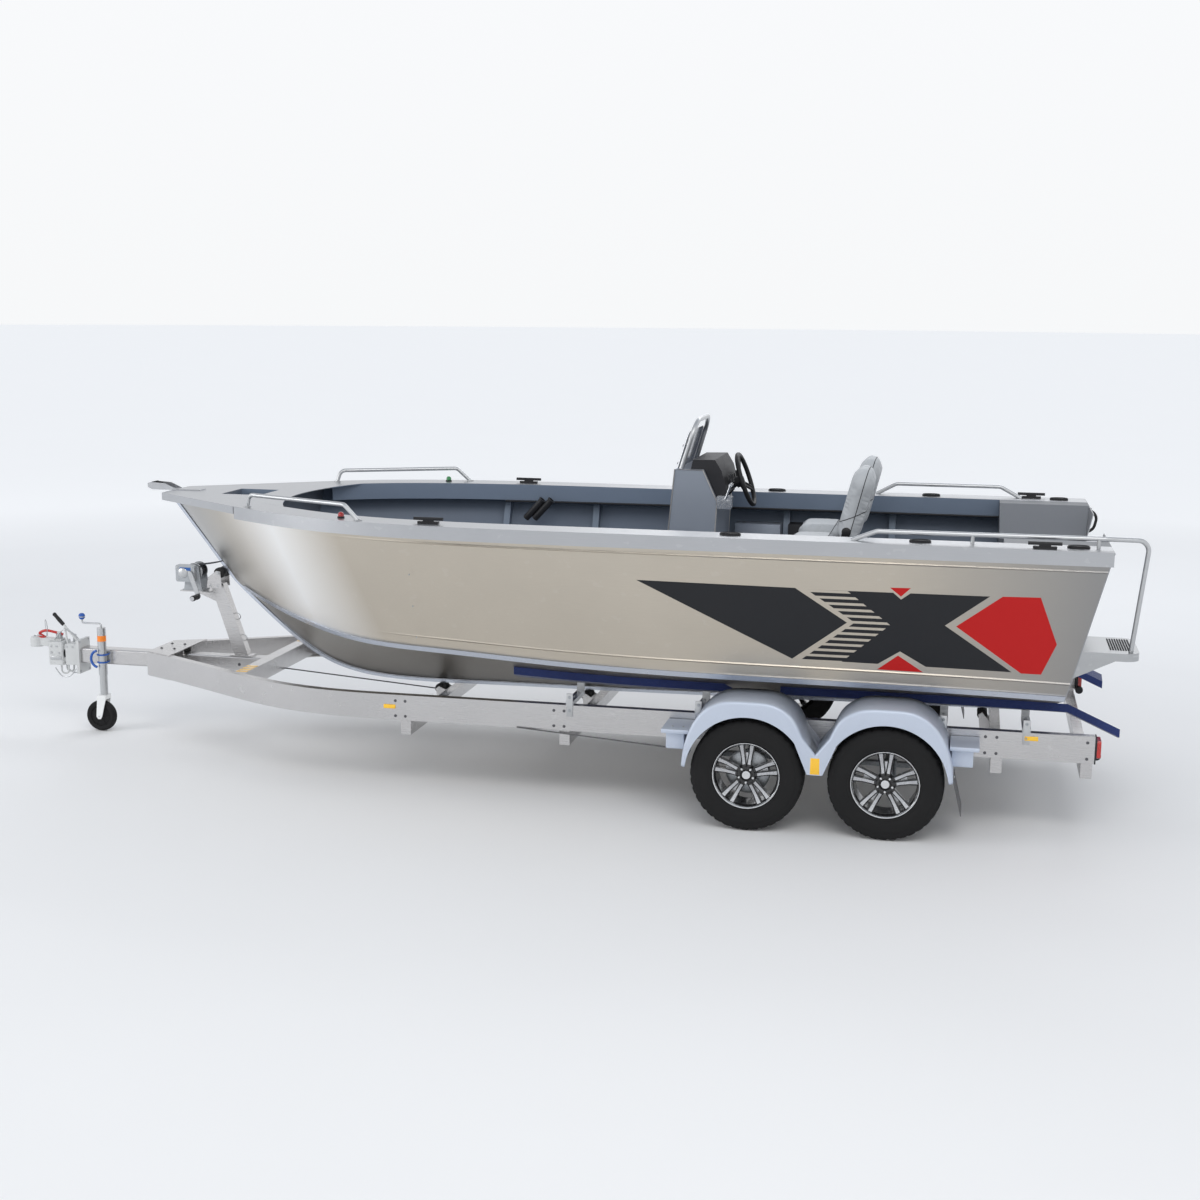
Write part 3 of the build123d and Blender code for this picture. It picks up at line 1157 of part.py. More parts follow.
def make_rim(axle, side):
    """An alloy wheel with pairs of spokes, made at the origin facing up, then turned outwards."""
    barrel_outer = RIM_RADIUS - FIT
    half = TYRE_WIDTH / 2 - 6
    rim = Cylinder(barrel_outer, 2 * half) - Cylinder(barrel_outer - 9, 2 * half + 2)
    face = half - 12
    hub = Pos(0, 0, face - 60) * Cylinder(52, 66, align=(Align.CENTER, Align.CENTER, Align.MIN))
    rim = rim + hub
    for i in range(SPOKE_PAIRS):
        for lean in (-9, 9):
            spoke = prism([(lean * 1.5 - 9, 30, face - 30), (lean * 1.5 + 9, 30, face - 30),
                           (lean * 2.4 + 10, barrel_outer - 4, face - 24),
                           (lean * 2.4 - 10, barrel_outer - 4, face - 24)], (0, 0, 30))
            rim = rim + Rot(0, 0, 360 * i / SPOKE_PAIRS) * spoke
    rim = rim - rod((0, 0, face - 70), (0, 0, face - 16), SPINDLE_RADIUS + 0.2)
    return Pos(axle, side * TRACK / 2, AXLE_HEIGHT) * (Rot(-90 * side, 0, 0) * rim)


def make_mud_flap():
    """A flap bolted behind the guard's rear edge."""
    reach, rise = ARCH_HALF[0]
    lean = (reach - ARCH_HALF[1][0]) / (ARCH_HALF[1][1] - rise)
    x, z = AXLES[1] - reach - FIT, AXLE_HEIGHT + rise
    head = x + 30 * lean
    outline = [(x, z), (head, z + 30), (head - 4, z + 30), (x - 4, z), (x - 50, 165), (x - 46, 165)]
    return plate_xz(outline, GUARD_INNER + 40, GUARD_INNER + 280)


def make_tail_lamps():
    x = BEAM_REAR - FIT
    y, z = BEAM_HALF_SPACING, BEAM_BOTTOM
    lamp = block((x - 30, x), (y - 120, y), (z + 30, z + 125))
    return both_sides(fillet(lamp.edges().filter_by(Axis.X), 12))


def make_brake_cables():
    """The park brake's cable beside the port beam, and the line along the middle of the frame."""
    step_x = AXLES[0] + ARCH_HALF[0][0] + 126 + FIT
    y = BEAM_HALF_SPACING + 33
    side = rod((3010.0, BEAM_HALF_SPACING + 4.6, BEAM_BOTTOM + 4), (step_x, y, AXLE_HEIGHT + 62), 4)
    aft = roller_centre(KEEL_ROLLER_PLACES[0])
    centre = rod((DRAWBAR_REAR - 81, 0, BEAM_TOP - 98), (aft.X + ROLLER_RADIUS, 0, aft.Z - 14), 4)
    return [side, centre]


# ---- Every piece, then one move to the finished frame ----
parts["hull_bottom"] = make_bottom()
parts["hull_side_port"] = make_side()
parts["hull_side_starboard"] = mirrored(make_side())
parts["transom"] = make_transom()
parts["keel_and_chine_strips"] = [make_keel_bar(), *both_sides(make_chine_strip())]
parts["side_decks"] = both_sides(make_side_deck())
parts["foredeck"] = make_foredeck()
parts["bowsprit"] = make_bowsprit()
parts["front_deck"] = make_front_deck()
parts["front_hatch"] = make_front_hatch()
parts["cockpit_floor"] = make_floor()
parts["side_frames"] = make_side_frames()
parts["stern_deck"] = make_stern_deck()
parts["console"] = make_console()
parts["dash"] = make_dash()
parts["windscreen"] = make_windscreen()
parts["windscreen_hoop"] = make_windscreen_hoop()
parts["steering_wheel"] = make_steering_wheel()
parts["throttle"] = make_throttle()
parts["seat_pedestals"] = [make_pedestal(y) for y in (HELM_SEAT_Y, MATE_SEAT_Y)]
for seat, seat_y in (("helm", HELM_SEAT_Y), ("mate", MATE_SEAT_Y)):
    parts[f"{seat}_seat_base"] = make_seat_base(seat_y)
    parts[f"{seat}_cushion"] = make_cushion(seat_y)
    parts[f"{seat}_backrest"] = make_backrest(seat_y)
parts["bow_rails"] = both_sides(make_bow_rail())
parts["stern_rails"] = make_stern_rails()
parts["deck_fittings"] = make_deck_fittings()
parts["nav_lights"] = make_nav_lights()
parts["boarding_platform"] = make_boarding_platform()
parts["rigging_hose"] = make_rigging_hose()
parts["side_beams"] = both_sides(make_side_beam())
parts["cross_members"] = make_cross_members()
parts["drawbar"] = make_drawbar()
parts["coupling"] = make_coupling()
parts["jockey_tube"] = make_jockey_tube()
parts["jockey_stem"] = make_jockey_stem()
parts["jockey_fork"] = make_jockey_fork()
parts["jockey_wheel"] = make_jockey_wheel()
parts["winch_post"] = make_winch_post()
parts["winch"] = make_winch()
parts["winch_drum"] = make_winch_drum()
parts["rollers"] = make_rollers()
parts["bunks"] = both_sides(*[make_bunk(*bunk) for bunk in BUNKS])
parts["bunk_posts"] = make_bunk_posts()
parts["mudguards"] = both_sides(make_mudguard())
parts["axles"] = make_axles()
parts["mud_flaps"] = both_sides(make_mud_flap())
parts["tail_lamps"] = make_tail_lamps()
parts["brake_cables"] = make_brake_cables()
for end, axle in zip(("front", "rear"), AXLES):
    for hand, side in (("port", 1), ("starboard", -1)):
        parts[f"tyre_{end}_{hand}"] = make_tyre(axle, side)
        parts[f"rim_{end}_{hand}"] = make_rim(axle, side)

solids = []
for name, shape in parts.items():
    pieces = shape if isinstance(shape, list) else [shape]
    parts[name] = together([solid for piece in pieces for solid in piece.solids()])
    solids += parts[name].solids()
box = Compound(solids).bounding_box()
middle = box.center()
move = Location((-middle.X, 0, -box.min.Z))
for name, shape in parts.items():
    export_step(shape.moved(move), f"parts/{name}.step")

print("moved by", [round(v, 2) for v in (-middle.X, -middle.Y, -box.min.Z)])
print("box", [round(v, 1) for v in (*box.min, *box.max)])
for label, value in (("steering", WHEEL_CENTRE), ("column", COLUMN), ("back pivot", BACK_PIVOT),
                     ("swivel x", SWIVEL_X), ("drum", DRUM), ("jockey", (JOCKEY_X, JOCKEY_Y)),
                     ("jockey axle", JOCKEY_AXLE), ("axles", AXLES), ("bow roller", BOW_ROLLER),
                     ("hatch", (HATCH_AFT + HATCH_LENGTH - HATCH_GAP, FRONT_DECK_HEIGHT))):
    print(label, [round(v, 3) for v in value] if not isinstance(value, float) else value)
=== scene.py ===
import bpy
import bmesh
import json
import math
from mathutils import Matrix, Vector


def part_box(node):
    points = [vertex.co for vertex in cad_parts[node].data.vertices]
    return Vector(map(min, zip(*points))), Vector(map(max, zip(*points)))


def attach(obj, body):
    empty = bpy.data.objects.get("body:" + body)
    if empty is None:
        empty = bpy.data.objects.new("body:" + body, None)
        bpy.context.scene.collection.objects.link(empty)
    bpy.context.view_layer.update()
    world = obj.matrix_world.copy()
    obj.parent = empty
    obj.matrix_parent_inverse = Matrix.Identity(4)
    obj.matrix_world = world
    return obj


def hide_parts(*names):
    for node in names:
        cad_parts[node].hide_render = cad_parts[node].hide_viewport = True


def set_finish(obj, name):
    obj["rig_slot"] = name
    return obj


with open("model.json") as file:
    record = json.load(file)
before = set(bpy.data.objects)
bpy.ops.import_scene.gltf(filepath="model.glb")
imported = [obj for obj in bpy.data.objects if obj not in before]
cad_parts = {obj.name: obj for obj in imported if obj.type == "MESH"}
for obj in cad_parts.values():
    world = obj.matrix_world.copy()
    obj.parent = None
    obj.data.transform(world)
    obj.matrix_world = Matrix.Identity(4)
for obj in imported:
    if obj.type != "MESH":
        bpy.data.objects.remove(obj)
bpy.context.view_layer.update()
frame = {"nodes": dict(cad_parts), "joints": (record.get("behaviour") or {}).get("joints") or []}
nodes = frame["nodes"]


# ---- Side sheets ----
# The hull's topsides are single sheets of brushed marine aluminium, left bare, with a long stripe
# pattern in charcoal and red film stuck over their after half.
class Signal:
    """A number or colour that varies over a finish. Sums on it add the nodes that work it out."""

    def __init__(self, finish, socket):
        self.finish = finish
        self.socket = socket

    def worked(self, operation, *values, clamp=False):
        settings = {"operation": operation, "use_clamp": clamp}
        return self.finish.node("ShaderNodeMath", settings, dict(enumerate(values)))

    def __add__(self, other):
        return self.worked("ADD", self, other)

    def __sub__(self, other):
        return self.worked("SUBTRACT", self, other)

    def __rsub__(self, other):
        return self.worked("SUBTRACT", other, self)

    def __mul__(self, other):
        return self.worked("MULTIPLY", self, other)

    def __mod__(self, other):
        return self.worked("FLOORED_MODULO", self, other)

    def __gt__(self, other):
        return self.worked("GREATER_THAN", self, other)

    def __lt__(self, other):
        return self.worked("LESS_THAN", self, other)

    def __abs__(self):
        return self.worked("ABSOLUTE", self)

    def least(self, other):
        return self.worked("MINIMUM", self, other)

    def most(self, other):
        return self.worked("MAXIMUM", self, other)

    def clamped(self):
        return self.worked("ADD", self, 0.0, clamp=True)

    __radd__ = __add__
    __rmul__ = __mul__


class Finish:
    """One metal, paint, cloth or plastic."""

    def __init__(self, name, metallic=0.0, roughness=0.5, coat=0.0):
        self.material = bpy.data.materials.new(name)
        self.material.use_nodes = True
        self.tree = self.material.node_tree
        self.shader = self.tree.nodes["Principled BSDF"]
        self.feed(self.shader.inputs["Metallic"], metallic)
        self.feed(self.shader.inputs["Roughness"], roughness)
        self.feed(self.shader.inputs["Coat Weight"], coat)

    def feed(self, socket, value):
        if isinstance(value, Signal):
            self.tree.links.new(value.socket, socket)
        elif isinstance(value, tuple) and len(value) == 3 and socket.type == "RGBA":
            socket.default_value = (*value, 1.0)
        else:
            socket.default_value = value

    def node(self, kind, settings=None, inputs=None, output=0):
        made = self.tree.nodes.new(kind)
        for key, value in (settings or {}).items():
            setattr(made, key, value)
        for key, value in (inputs or {}).items():
            self.feed(made.inputs[key], value)
        return Signal(self, made.outputs[output])

    def place(self):
        return self.node("ShaderNodeTexCoord", output="Object")

    def axes(self):
        """The place on the surface as three numbers, in metres."""
        split = self.tree.nodes.new("ShaderNodeSeparateXYZ")
        self.feed(split.inputs[0], self.place())
        return [Signal(self, out) for out in split.outputs]

    def facing(self, axis):
        """How far the surface faces along one of its object's own axes."""
        split = self.tree.nodes.new("ShaderNodeSeparateXYZ")
        self.feed(split.inputs[0], self.node("ShaderNodeTexCoord", output="Normal"))
        return Signal(self, split.outputs[axis])

    def noise(self, scale, stretch=(1, 1, 1), detail=4.0):
        where = self.node("ShaderNodeMapping", None, {"Vector": self.place(), "Scale": stretch})
        return self.node("ShaderNodeTexNoise", None, {"Vector": where, "Scale": scale, "Detail": detail})

    def cells(self, scale):
        return self.node("ShaderNodeTexVoronoi", None, {"Vector": self.place(), "Scale": scale}, "Distance")

    def mix(self, amount, low, high):
        return self.node("ShaderNodeMix", {"data_type": "RGBA"}, {0: amount, 6: low, 7: high}, 2)

    def colour(self, value):
        self.feed(self.shader.inputs["Base Color"], value)

    def relief(self, height, depth):
        bump = self.node("ShaderNodeBump", None, {"Height": height, "Distance": depth})
        self.feed(self.shader.inputs["Normal"], bump)

    def vary(self, socket, value):
        self.feed(self.shader.inputs[socket], value)


def dress(finish, *names):
    for name in names:
        data = nodes[name].data
        if data.materials:
            nodes[name].material_slots[0].material = finish.material
        else:
            data.materials.append(finish.material)


def rolled_metal(name, colour, roughness, along=(1.0, 40.0, 40.0), marks=0.5):
    """Bare aluminium: fine lines along the roll, clouds of oxide and small handling marks."""
    finish = Finish(name, metallic=1.0)
    lines = finish.noise(14.0, along, 6.0)
    clouds = finish.noise(1.7, detail=3.0)
    scuffs = (finish.noise(23.0, (0.6, 1, 1), 8.0) > 0.66) * marks
    dark = tuple(c * 0.78 for c in colour)
    shade = finish.mix((lines * 0.5 + clouds * 0.6 - 0.05).clamped(), dark, colour)
    finish.shade = finish.mix(scuffs * 0.18, shade, (0.85, 0.85, 0.84))
    finish.colour(finish.shade)
    finish.gloss = (roughness - 0.09) + lines * 0.12 + clouds * 0.08 + scuffs * 0.05
    finish.vary("Roughness", finish.gloss)
    finish.grain = lines
    finish.relief(lines, 0.0004)
    return finish


side_metal = rolled_metal("side_sheet_metal", (0.66, 0.60, 0.51), 0.31, (0.8, 30.0, 46.0), 0.3)
side_metal.shader.inputs["Specular IOR Level"].default_value = 0.22
along, across, height = side_metal.axes()


def inside(corners):
    """1 inside a convex outline of (x, z) corners."""
    sides = list(zip(corners, corners[1:] + corners[:1]))
    turn = math.copysign(1, sum(ax * bz - bx * az for (ax, az), (bx, bz) in sides))
    depth = None
    for (ax, az), (bx, bz) in sides:
        length = math.hypot(bx - ax, bz - az)
        nx, nz = turn * (az - bz) / length, turn * (bx - ax) / length
        edge = along * nx + height * nz - (ax * nx + az * nz)
        depth = edge if depth is None else depth.least(edge)
    return (depth * 900.0 + 0.5).clamped()


def wedge(tip, upper, lower):
    """1 in the open corner at a tip between two directions."""
    far = [tuple(t + (p - t) * 6 for t, p in zip(tip, point)) for point in (upper, lower)]
    return inside([tip, far[0], far[1]])


SLAT_PITCH = 0.0335
SLAT_SHARE = 0.42
SLATS_MIDDLE = 1.152
kite = inside([(-0.841, 1.345), (-1.701, 1.339), (-1.978, 1.155), (-1.686, 0.931)])
kite_border = inside([(-0.70, 1.378), (-1.705, 1.372), (-2.018, 1.157), (-1.680, 0.885)])
band = inside([(-1.66, 1.333), (-2.95, 1.339), (-2.95, 0.917), (-1.62, 0.931)])
arms_gap = wedge((-2.490, 1.164), (-2.712, 1.337), (-2.847, 0.917))
top_notch = wedge((-2.258, 1.299), (-2.206, 1.345), (-2.318, 1.345))
low_notch = wedge((-2.261, 1.004), (-2.420, 0.910), (-2.122, 0.910))
slats_area = inside([(-1.4, 1.6), (-1.93, 1.372), (-2.205, 1.152), (-1.905, 0.885), (-1.4, 0.7)])
slat = ((height - SLATS_MIDDLE + 8 * SLAT_PITCH) % SLAT_PITCH) < SLAT_PITCH * SLAT_SHARE
charcoal_film = (band - kite_border - arms_gap - top_notch - low_notch - slats_area * slat).clamped()
charcoal_film = charcoal_film.most(kite)
red_film = inside([(-2.547, 1.162), (-2.777, 1.340), (-2.968, 1.344), (-3.065, 1.088), (-2.996, 0.914),
                   (-2.893, 0.914)])
red_film = red_film.most(inside([(-2.199, 1.363), (-2.257, 1.315), (-2.307, 1.365)]))
red_film = red_film.most(inside([(-2.142, 0.893), (-2.251, 0.980), (-2.386, 0.890)]))
film = charcoal_film.most(red_film)
# Painted reflections on the bare metal: a bright diagonal highlight painted across the bow, a darker tone
# painted towards the stem and dark grey painted over the stern.
lean = along - (height - 1.2) * 0.35
painted_bow_highlight = (1.0 - abs(lean - 1.28) * 2.1).clamped()
painted_stem_reflection = ((lean - 1.55) * 2.2).clamped()
painted_stern_reflection = ((along + 2.2) * -0.95).clamped()
bare = side_metal.mix(painted_bow_highlight, side_metal.shade, (0.98, 0.97, 0.95))
bare = side_metal.mix(painted_stem_reflection, bare, (0.46, 0.45, 0.43))
bare = side_metal.mix(painted_stern_reflection, bare, (0.33, 0.325, 0.32))
painted = side_metal.mix(charcoal_film, bare, (0.018, 0.019, 0.022))
outer = side_metal.mix(red_film, painted, (0.47, 0.010, 0.010))
inboard = (side_metal.facing(1) * across) < 0.0
speckle = side_metal.noise(420.0, detail=2.0)
cabin_side = side_metal.mix(speckle, (0.13, 0.165, 0.22), (0.21, 0.25, 0.32))
side_metal.colour(side_metal.mix(inboard, outer, cabin_side))
bare_share = (1.0 - film) * (1.0 - inboard)
side_metal.vary("Metallic", bare_share)
side_metal.vary("Roughness", side_metal.gloss * bare_share + (1.0 - bare_share) * 0.4)
dress(side_metal, "hull_side_port", "hull_side_starboard")


# ---- Bottom, transom and welded strips ----
# The bottom and the raked transom are thicker plate, duller than the sides. Extruded strips are
# welded along the chines, and a flat bar runs under the keel and up the stem.
bottom_metal = rolled_metal("bottom_plate_metal", (0.26, 0.235, 0.20), 0.36, (0.7, 26.0, 26.0), 0.4)
dress(bottom_metal, "hull_bottom")
transom_metal = rolled_metal("transom_metal", (0.42, 0.43, 0.45), 0.34, (30.0, 0.8, 30.0), 0.4)
dress(transom_metal, "transom")
strip_metal = rolled_metal("chine_strip_metal", (0.60, 0.64, 0.72), 0.25, (0.6, 50.0, 50.0), 0.3)
dress(strip_metal, "keel_and_chine_strips")


# ---- Side decks and bow plate ----
# Folded gunwale sheets with a deep outer lip; the coaming inside them is painted like the cockpit.
deck_metal = rolled_metal("side_deck_metal", (0.53, 0.54, 0.56), 0.3, (0.7, 36.0, 36.0), 0.5)
across = deck_metal.axes()[1]
coaming = (deck_metal.facing(1) * across) < -0.1
deck_metal.colour(deck_metal.mix(coaming, deck_metal.shade, (0.20, 0.25, 0.33)))
deck_metal.vary("Metallic", 1.0 - coaming * 0.7)
dress(deck_metal, "side_decks", "foredeck", "bowsprit")


class Shape:
    """A mesh built up from turned, bent and folded parts, in metres."""

    def __init__(self):
        self.mesh = bmesh.new()

    def corner(self, place):
        return self.mesh.verts.new(place)

    def join(self, before, after):
        """Faces between two rings of corners, or a ring and one point."""
        count = max(len(before), len(after))
        for i in range(count):
            j = (i + 1) % count
            if len(before) == 1:
                self.mesh.faces.new((before[0], after[j], after[i]))
            elif len(after) == 1:
                self.mesh.faces.new((before[i], before[j], after[0]))
            else:
                self.mesh.faces.new((before[i], before[j], after[j], after[i]))

    def eased_edges(self, corners, bevel):
        edges = list({edge for vert in corners for edge in vert.link_edges})
        bmesh.ops.bevel(self.mesh, geom=edges, offset=bevel, segments=2, profile=0.5, affect="EDGES")

    def through(self, sections):
        """A solid bar through rings of corners, closed at both ends."""
        for before, after in zip(sections, sections[1:]):
            self.join(before, after)
        self.mesh.faces.new(sections[0][::-1])
        self.mesh.faces.new(sections[-1])

    def block(self, low, high, bevel=0.002, turn=Matrix()):
        """A flat-sided piece with eased edges between two opposite corners, given in any order."""
        made = bmesh.ops.create_cube(self.mesh, size=1.0)["verts"]
        low, high = (Vector(kind(pair) for pair in zip(low, high)) for kind in (min, max))
        place = Matrix.Translation((low + high) / 2) @ turn @ Matrix.Diagonal((*(high - low), 1))
        bmesh.ops.transform(self.mesh, matrix=place, verts=made)
        self.eased_edges(made, bevel)

    def turned(self, profile, centre, axis, sides=24, shape=None):
        """A lathe profile of (radius, distance along the axis) points about a centre."""
        axis = Vector(axis).normalized()
        across = axis.orthogonal().normalized()
        up = axis.cross(across)
        rings = []
        for radius, reach in profile:
            middle = Vector(centre) + axis * reach
            if radius < 1e-6:
                rings.append([self.corner(middle)])
                continue
            ring = []
            for i in range(sides):
                turn = 2 * math.pi * i / sides
                out = radius if shape is None else shape(radius, reach, i)
                ring.append(self.corner(middle + (across * math.cos(turn) + up * math.sin(turn)) * out))
            rings.append(ring)
        for before, after in zip(rings, rings[1:]):
            self.join(before, after)

    def tube(self, points, radius, sides=12, closed=False):
        """A round bar or hose along the points, with flat closed ends."""
        points = [Vector(point) for point in points]
        count = len(points)
        rings, side = [], None
        for i, point in enumerate(points):
            ahead = points[(i + 1) % count] if closed or i + 1 < count else point
            behind = points[i - 1] if closed or i else point
            along = (ahead - behind).normalized()
            side = along.orthogonal() if side is None else side - along * side.dot(along)
            side.normalize()
            up = along.cross(side)
            turns = [2 * math.pi * k / sides for k in range(sides)]
            rings.append([self.corner(point + (side * math.cos(t) + up * math.sin(t)) * radius)
                          for t in turns])
        for before, after in zip(rings, rings[1:]):
            self.join(before, after)
        if closed:
            self.join(rings[-1], rings[0])
        else:
            self.join([self.corner(points[0])], rings[0])
            self.join(rings[-1], [self.corner(points[-1])])

    def bolt(self, centre, axis, size=0.010):
        """A hexagon head on its washer."""
        self.turned([(0, -0.001), (size, -0.001), (size, 0.0012), (0, 0.0012)], centre, axis, 16)
        head = [(0, 0), (0.62, 0), (0.62, 0.5), (0.5, 0.6), (0, 0.6)]
        self.turned([(radius * size, reach * size) for radius, reach in head], centre, axis, 6)

    def folded(self, outline, push, bevel):
        """A flat outline with thickness."""
        near = [self.corner(Vector(point)) for point in outline]
        far = [self.corner(Vector(point) + Vector(push)) for point in outline]
        self.mesh.faces.new(near)
        self.mesh.faces.new(far[::-1])
        self.join(far, near)
        self.eased_edges(near + far, bevel)

    def made(self, name, body, slot, finish, sharp=35.0):
        bmesh.ops.recalc_face_normals(self.mesh, faces=self.mesh.faces)
        data = bpy.data.meshes.new(name)
        self.mesh.to_mesh(data)
        self.mesh.free()
        data.shade_smooth()
        data.set_sharp_from_angle(angle=math.radians(sharp))
        data.materials.append(finish.material)
        piece = bpy.data.objects.new(name, data)
        bpy.context.scene.collection.objects.link(piece)
        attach(piece, body)
        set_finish(piece, slot)
        return piece


AHEAD, PORT, UP = Vector((1, 0, 0)), Vector((0, 1, 0)), Vector((0, 0, 1))


def once_round(centre, first, second, count=28):
    """Points once round the ellipse with the half axes first and second."""
    turns = [2 * math.pi * i / count for i in range(count)]
    return [Vector(centre) + Vector(first) * math.cos(t) + Vector(second) * math.sin(t) for t in turns]


def eased(points, steps=6):
    """More points on one smooth line through the given ones."""
    points = [Vector(point) for point in points]
    last = len(points) - 1
    line = []
    for i in range(last):
        a, b, c, d = (points[min(max(i + k, 0), last)] for k in (-1, 0, 1, 2))
        for step in range(steps):
            t = step / steps
            line.append(0.5 * ((2 * b) + (c - a) * t + (2 * a - 5 * b + 4 * c - d) * t * t
                               + (3 * b - a - 3 * c + d) * t ** 3))
    return [*line, points[-1]]


def moulded(name, colour, roughness=0.45, grain=900.0, depth=0.0003, coat=0.0):
    """Moulded or painted plastic: fine grain, faint dirt and small changes of gloss."""
    finish = Finish(name, roughness=roughness, coat=coat)
    finish.shader.inputs["Specular IOR Level"].default_value = 0.28
    grains = finish.noise(grain, detail=3.0)
    dirt = finish.noise(7.0, detail=5.0)
    light = tuple(min(1.0, c * 1.25 + 0.01) for c in colour)
    finish.colour(finish.mix((dirt * 0.7 + grains * 0.4 - 0.1).clamped(), colour, light))
    finish.vary("Roughness", (roughness - 0.08) + dirt * 0.14 + grains * 0.05)
    finish.relief(grains, depth)
    return finish


weld_metal = rolled_metal("weld_metal", (0.62, 0.60, 0.58), 0.42, (3.0, 3.0, 3.0), 0.8)
fitting_plastic = moulded("fitting_black_plastic", (0.016, 0.016, 0.018), 0.38)
dress(fitting_plastic, "deck_fittings")


# ---- Cockpit and bow inside ----
# Everything inboard is sprayed in a fine blue-grey speckle. The floor and the raised front deck
# have grit in the paint; the hatch lifts by a recessed ring and turns on a long hinge.
def speckled(name, colour, grit=0.0, metallic=0.15):
    finish = Finish(name, metallic=metallic, roughness=0.42)
    specks = finish.noise(520.0, detail=2.0)
    clouds = finish.noise(2.2, detail=5.0)
    light = tuple(c * 1.35 + 0.02 for c in colour)
    shade = finish.mix((specks * 0.8 + clouds * 0.5 - 0.25).clamped(), colour, light)
    worn = (finish.noise(48.0, detail=8.0) > 0.68) * grit
    finish.colour(finish.mix(worn, shade, (0.24, 0.25, 0.27)))
    finish.vary("Roughness", 0.36 + clouds * 0.18 + grit * 0.12)
    finish.relief(finish.noise(260.0, detail=4.0) * (0.3 + grit) + specks * 0.2, 0.0012)
    return finish


inside_paint = speckled("inside_paint", (0.16, 0.20, 0.26))
floor_paint = speckled("floor_paint", (0.12, 0.135, 0.165), 0.6)
panel_paint = speckled("panel_paint", (0.24, 0.27, 0.32), metallic=0.4)
edge_metal = rolled_metal("frame_edge_metal", (0.58, 0.60, 0.63), 0.3, (30.0, 30.0, 0.8), 0.4)
dark_shell = moulded("dark_trim_plastic", (0.018, 0.019, 0.022), 0.5)
dress(inside_paint, "side_frames")
dress(floor_paint, "cockpit_floor", "front_deck")
stern_paint = speckled("stern_paint", (0.075, 0.082, 0.095), metallic=0.1)
dress(stern_paint, "stern_deck")
hatch_low, hatch_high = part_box("front_hatch")
hatch_paint = speckled("hatch_paint", (0.16, 0.18, 0.22), 0.4)
dress(hatch_paint, "front_hatch")
ring_place = Vector((hatch_high[0] - 0.06, 0, hatch_high[2]))
ring = Shape()
ring.turned([(0.0, 0.0), (0.034, 0.0), (0.036, 0.0012), (0.030, 0.0028), (0.022, 0.0022), (0.0, 0.0022)],
            ring_place, UP, 28)
ring.tube(once_round(ring_place + UP * 0.0045, AHEAD * 0.019, PORT * 0.019), 0.0022, 8, True)
ring.made("hatch_ring", "hatch", "rail_alu", edge_metal)
hinge = Shape()
for i in range(9):
    knuckle = Vector((hatch_low[0] + 0.004, -0.27 + i * 0.06, hatch_high[2] + 0.003))
    hinge.tube([knuckle, knuckle + PORT * 0.057], 0.0035, 10)
hinge.made("hatch_hinge", "hatch", "rail_alu", edge_metal)

frame_rivets = Shape()
for frame_x in (-2.123, -1.433, -0.763, -0.143, 0.467):
    for side in (-1, 1):
        for z in (0.93, 1.12, 1.31):
            frame_rivets.bolt((frame_x - 0.001, side * (0.968 + (z - 0.93) * 0.3), z), -AHEAD, 0.006)
frame_rivets.made("frame_rivets", "boat", "rail_alu", edge_metal)

# A dark line under each coaming is painted shade, standing in for the shadow in the gap below it.
# A locker panel stands at the starboard side between the console and the seats.
painted_shadow_line = Shape()
for side in (-1, 1):
    line = [(-3.02, 0.962), (-2.2, 0.975), (-1.2, 0.976), (-0.4, 0.972), (0.2, 0.945), (0.47, 0.925)]
    painted_shadow_line.tube(eased([(x, side * (y + 0.004), 1.494) for x, y in line], 8), 0.0065, 8)
painted_shadow_line.made("coaming_painted_shadow", "boat", "black_moulding", dark_shell)
def side_box(shape, aft, length, inner, top, bevel):
    """A box against the side sheet, following its slope from the floor up."""
    outline = ((inner, 0.852), (inner, top), (-1.085, top), (-0.975, 0.852))
    shape.folded([(aft, y, z) for y, z in outline], AHEAD * length, bevel)


locker = Shape()
side_box(locker, -1.385, 0.30, -0.950, 1.395, 0.004)
door = ((-1.370, 0.88), (-1.370, 1.375), (-1.10, 1.375), (-1.10, 0.88))
locker.folded([(x, -0.9475, z) for x, z in door], PORT * -0.003, 0.001)
locker.made("side_locker", "boat", "interior_paint", panel_paint)
recess = Shape()
side_box(recess, -1.60, 0.165, -0.958, 1.40, 0.003)
recess.made("side_recess", "boat", "black_moulding", dark_shell)

rod_tubes = Shape()
for foot_x, head_x in ((0.322, 0.203), (0.262, 0.143)):
    foot, top = Vector((foot_x, -0.895, 1.385)), Vector((head_x, -0.895, 1.515))
    way = (top - foot).normalized()
    reach = (top - foot).length
    rod_tubes.turned([(0, 0), (0.021, 0), (0.023, 0.006), (0.023, reach - 0.012), (0.027, reach - 0.008),
                      (0.027, reach), (0.019, reach), (0.018, reach - 0.05), (0, reach - 0.05)],
                     foot, way, 28)
    for share in (0.25, 0.75):
        place = foot.lerp(top, share)
        rod_tubes.block(place + Vector((-0.010, -0.050, -0.012)),
                        place + Vector((0.010, -0.018, 0.012)), 0.003)
rod_tubes.made("rod_tubes", "boat", "fitting_black", fitting_plastic)


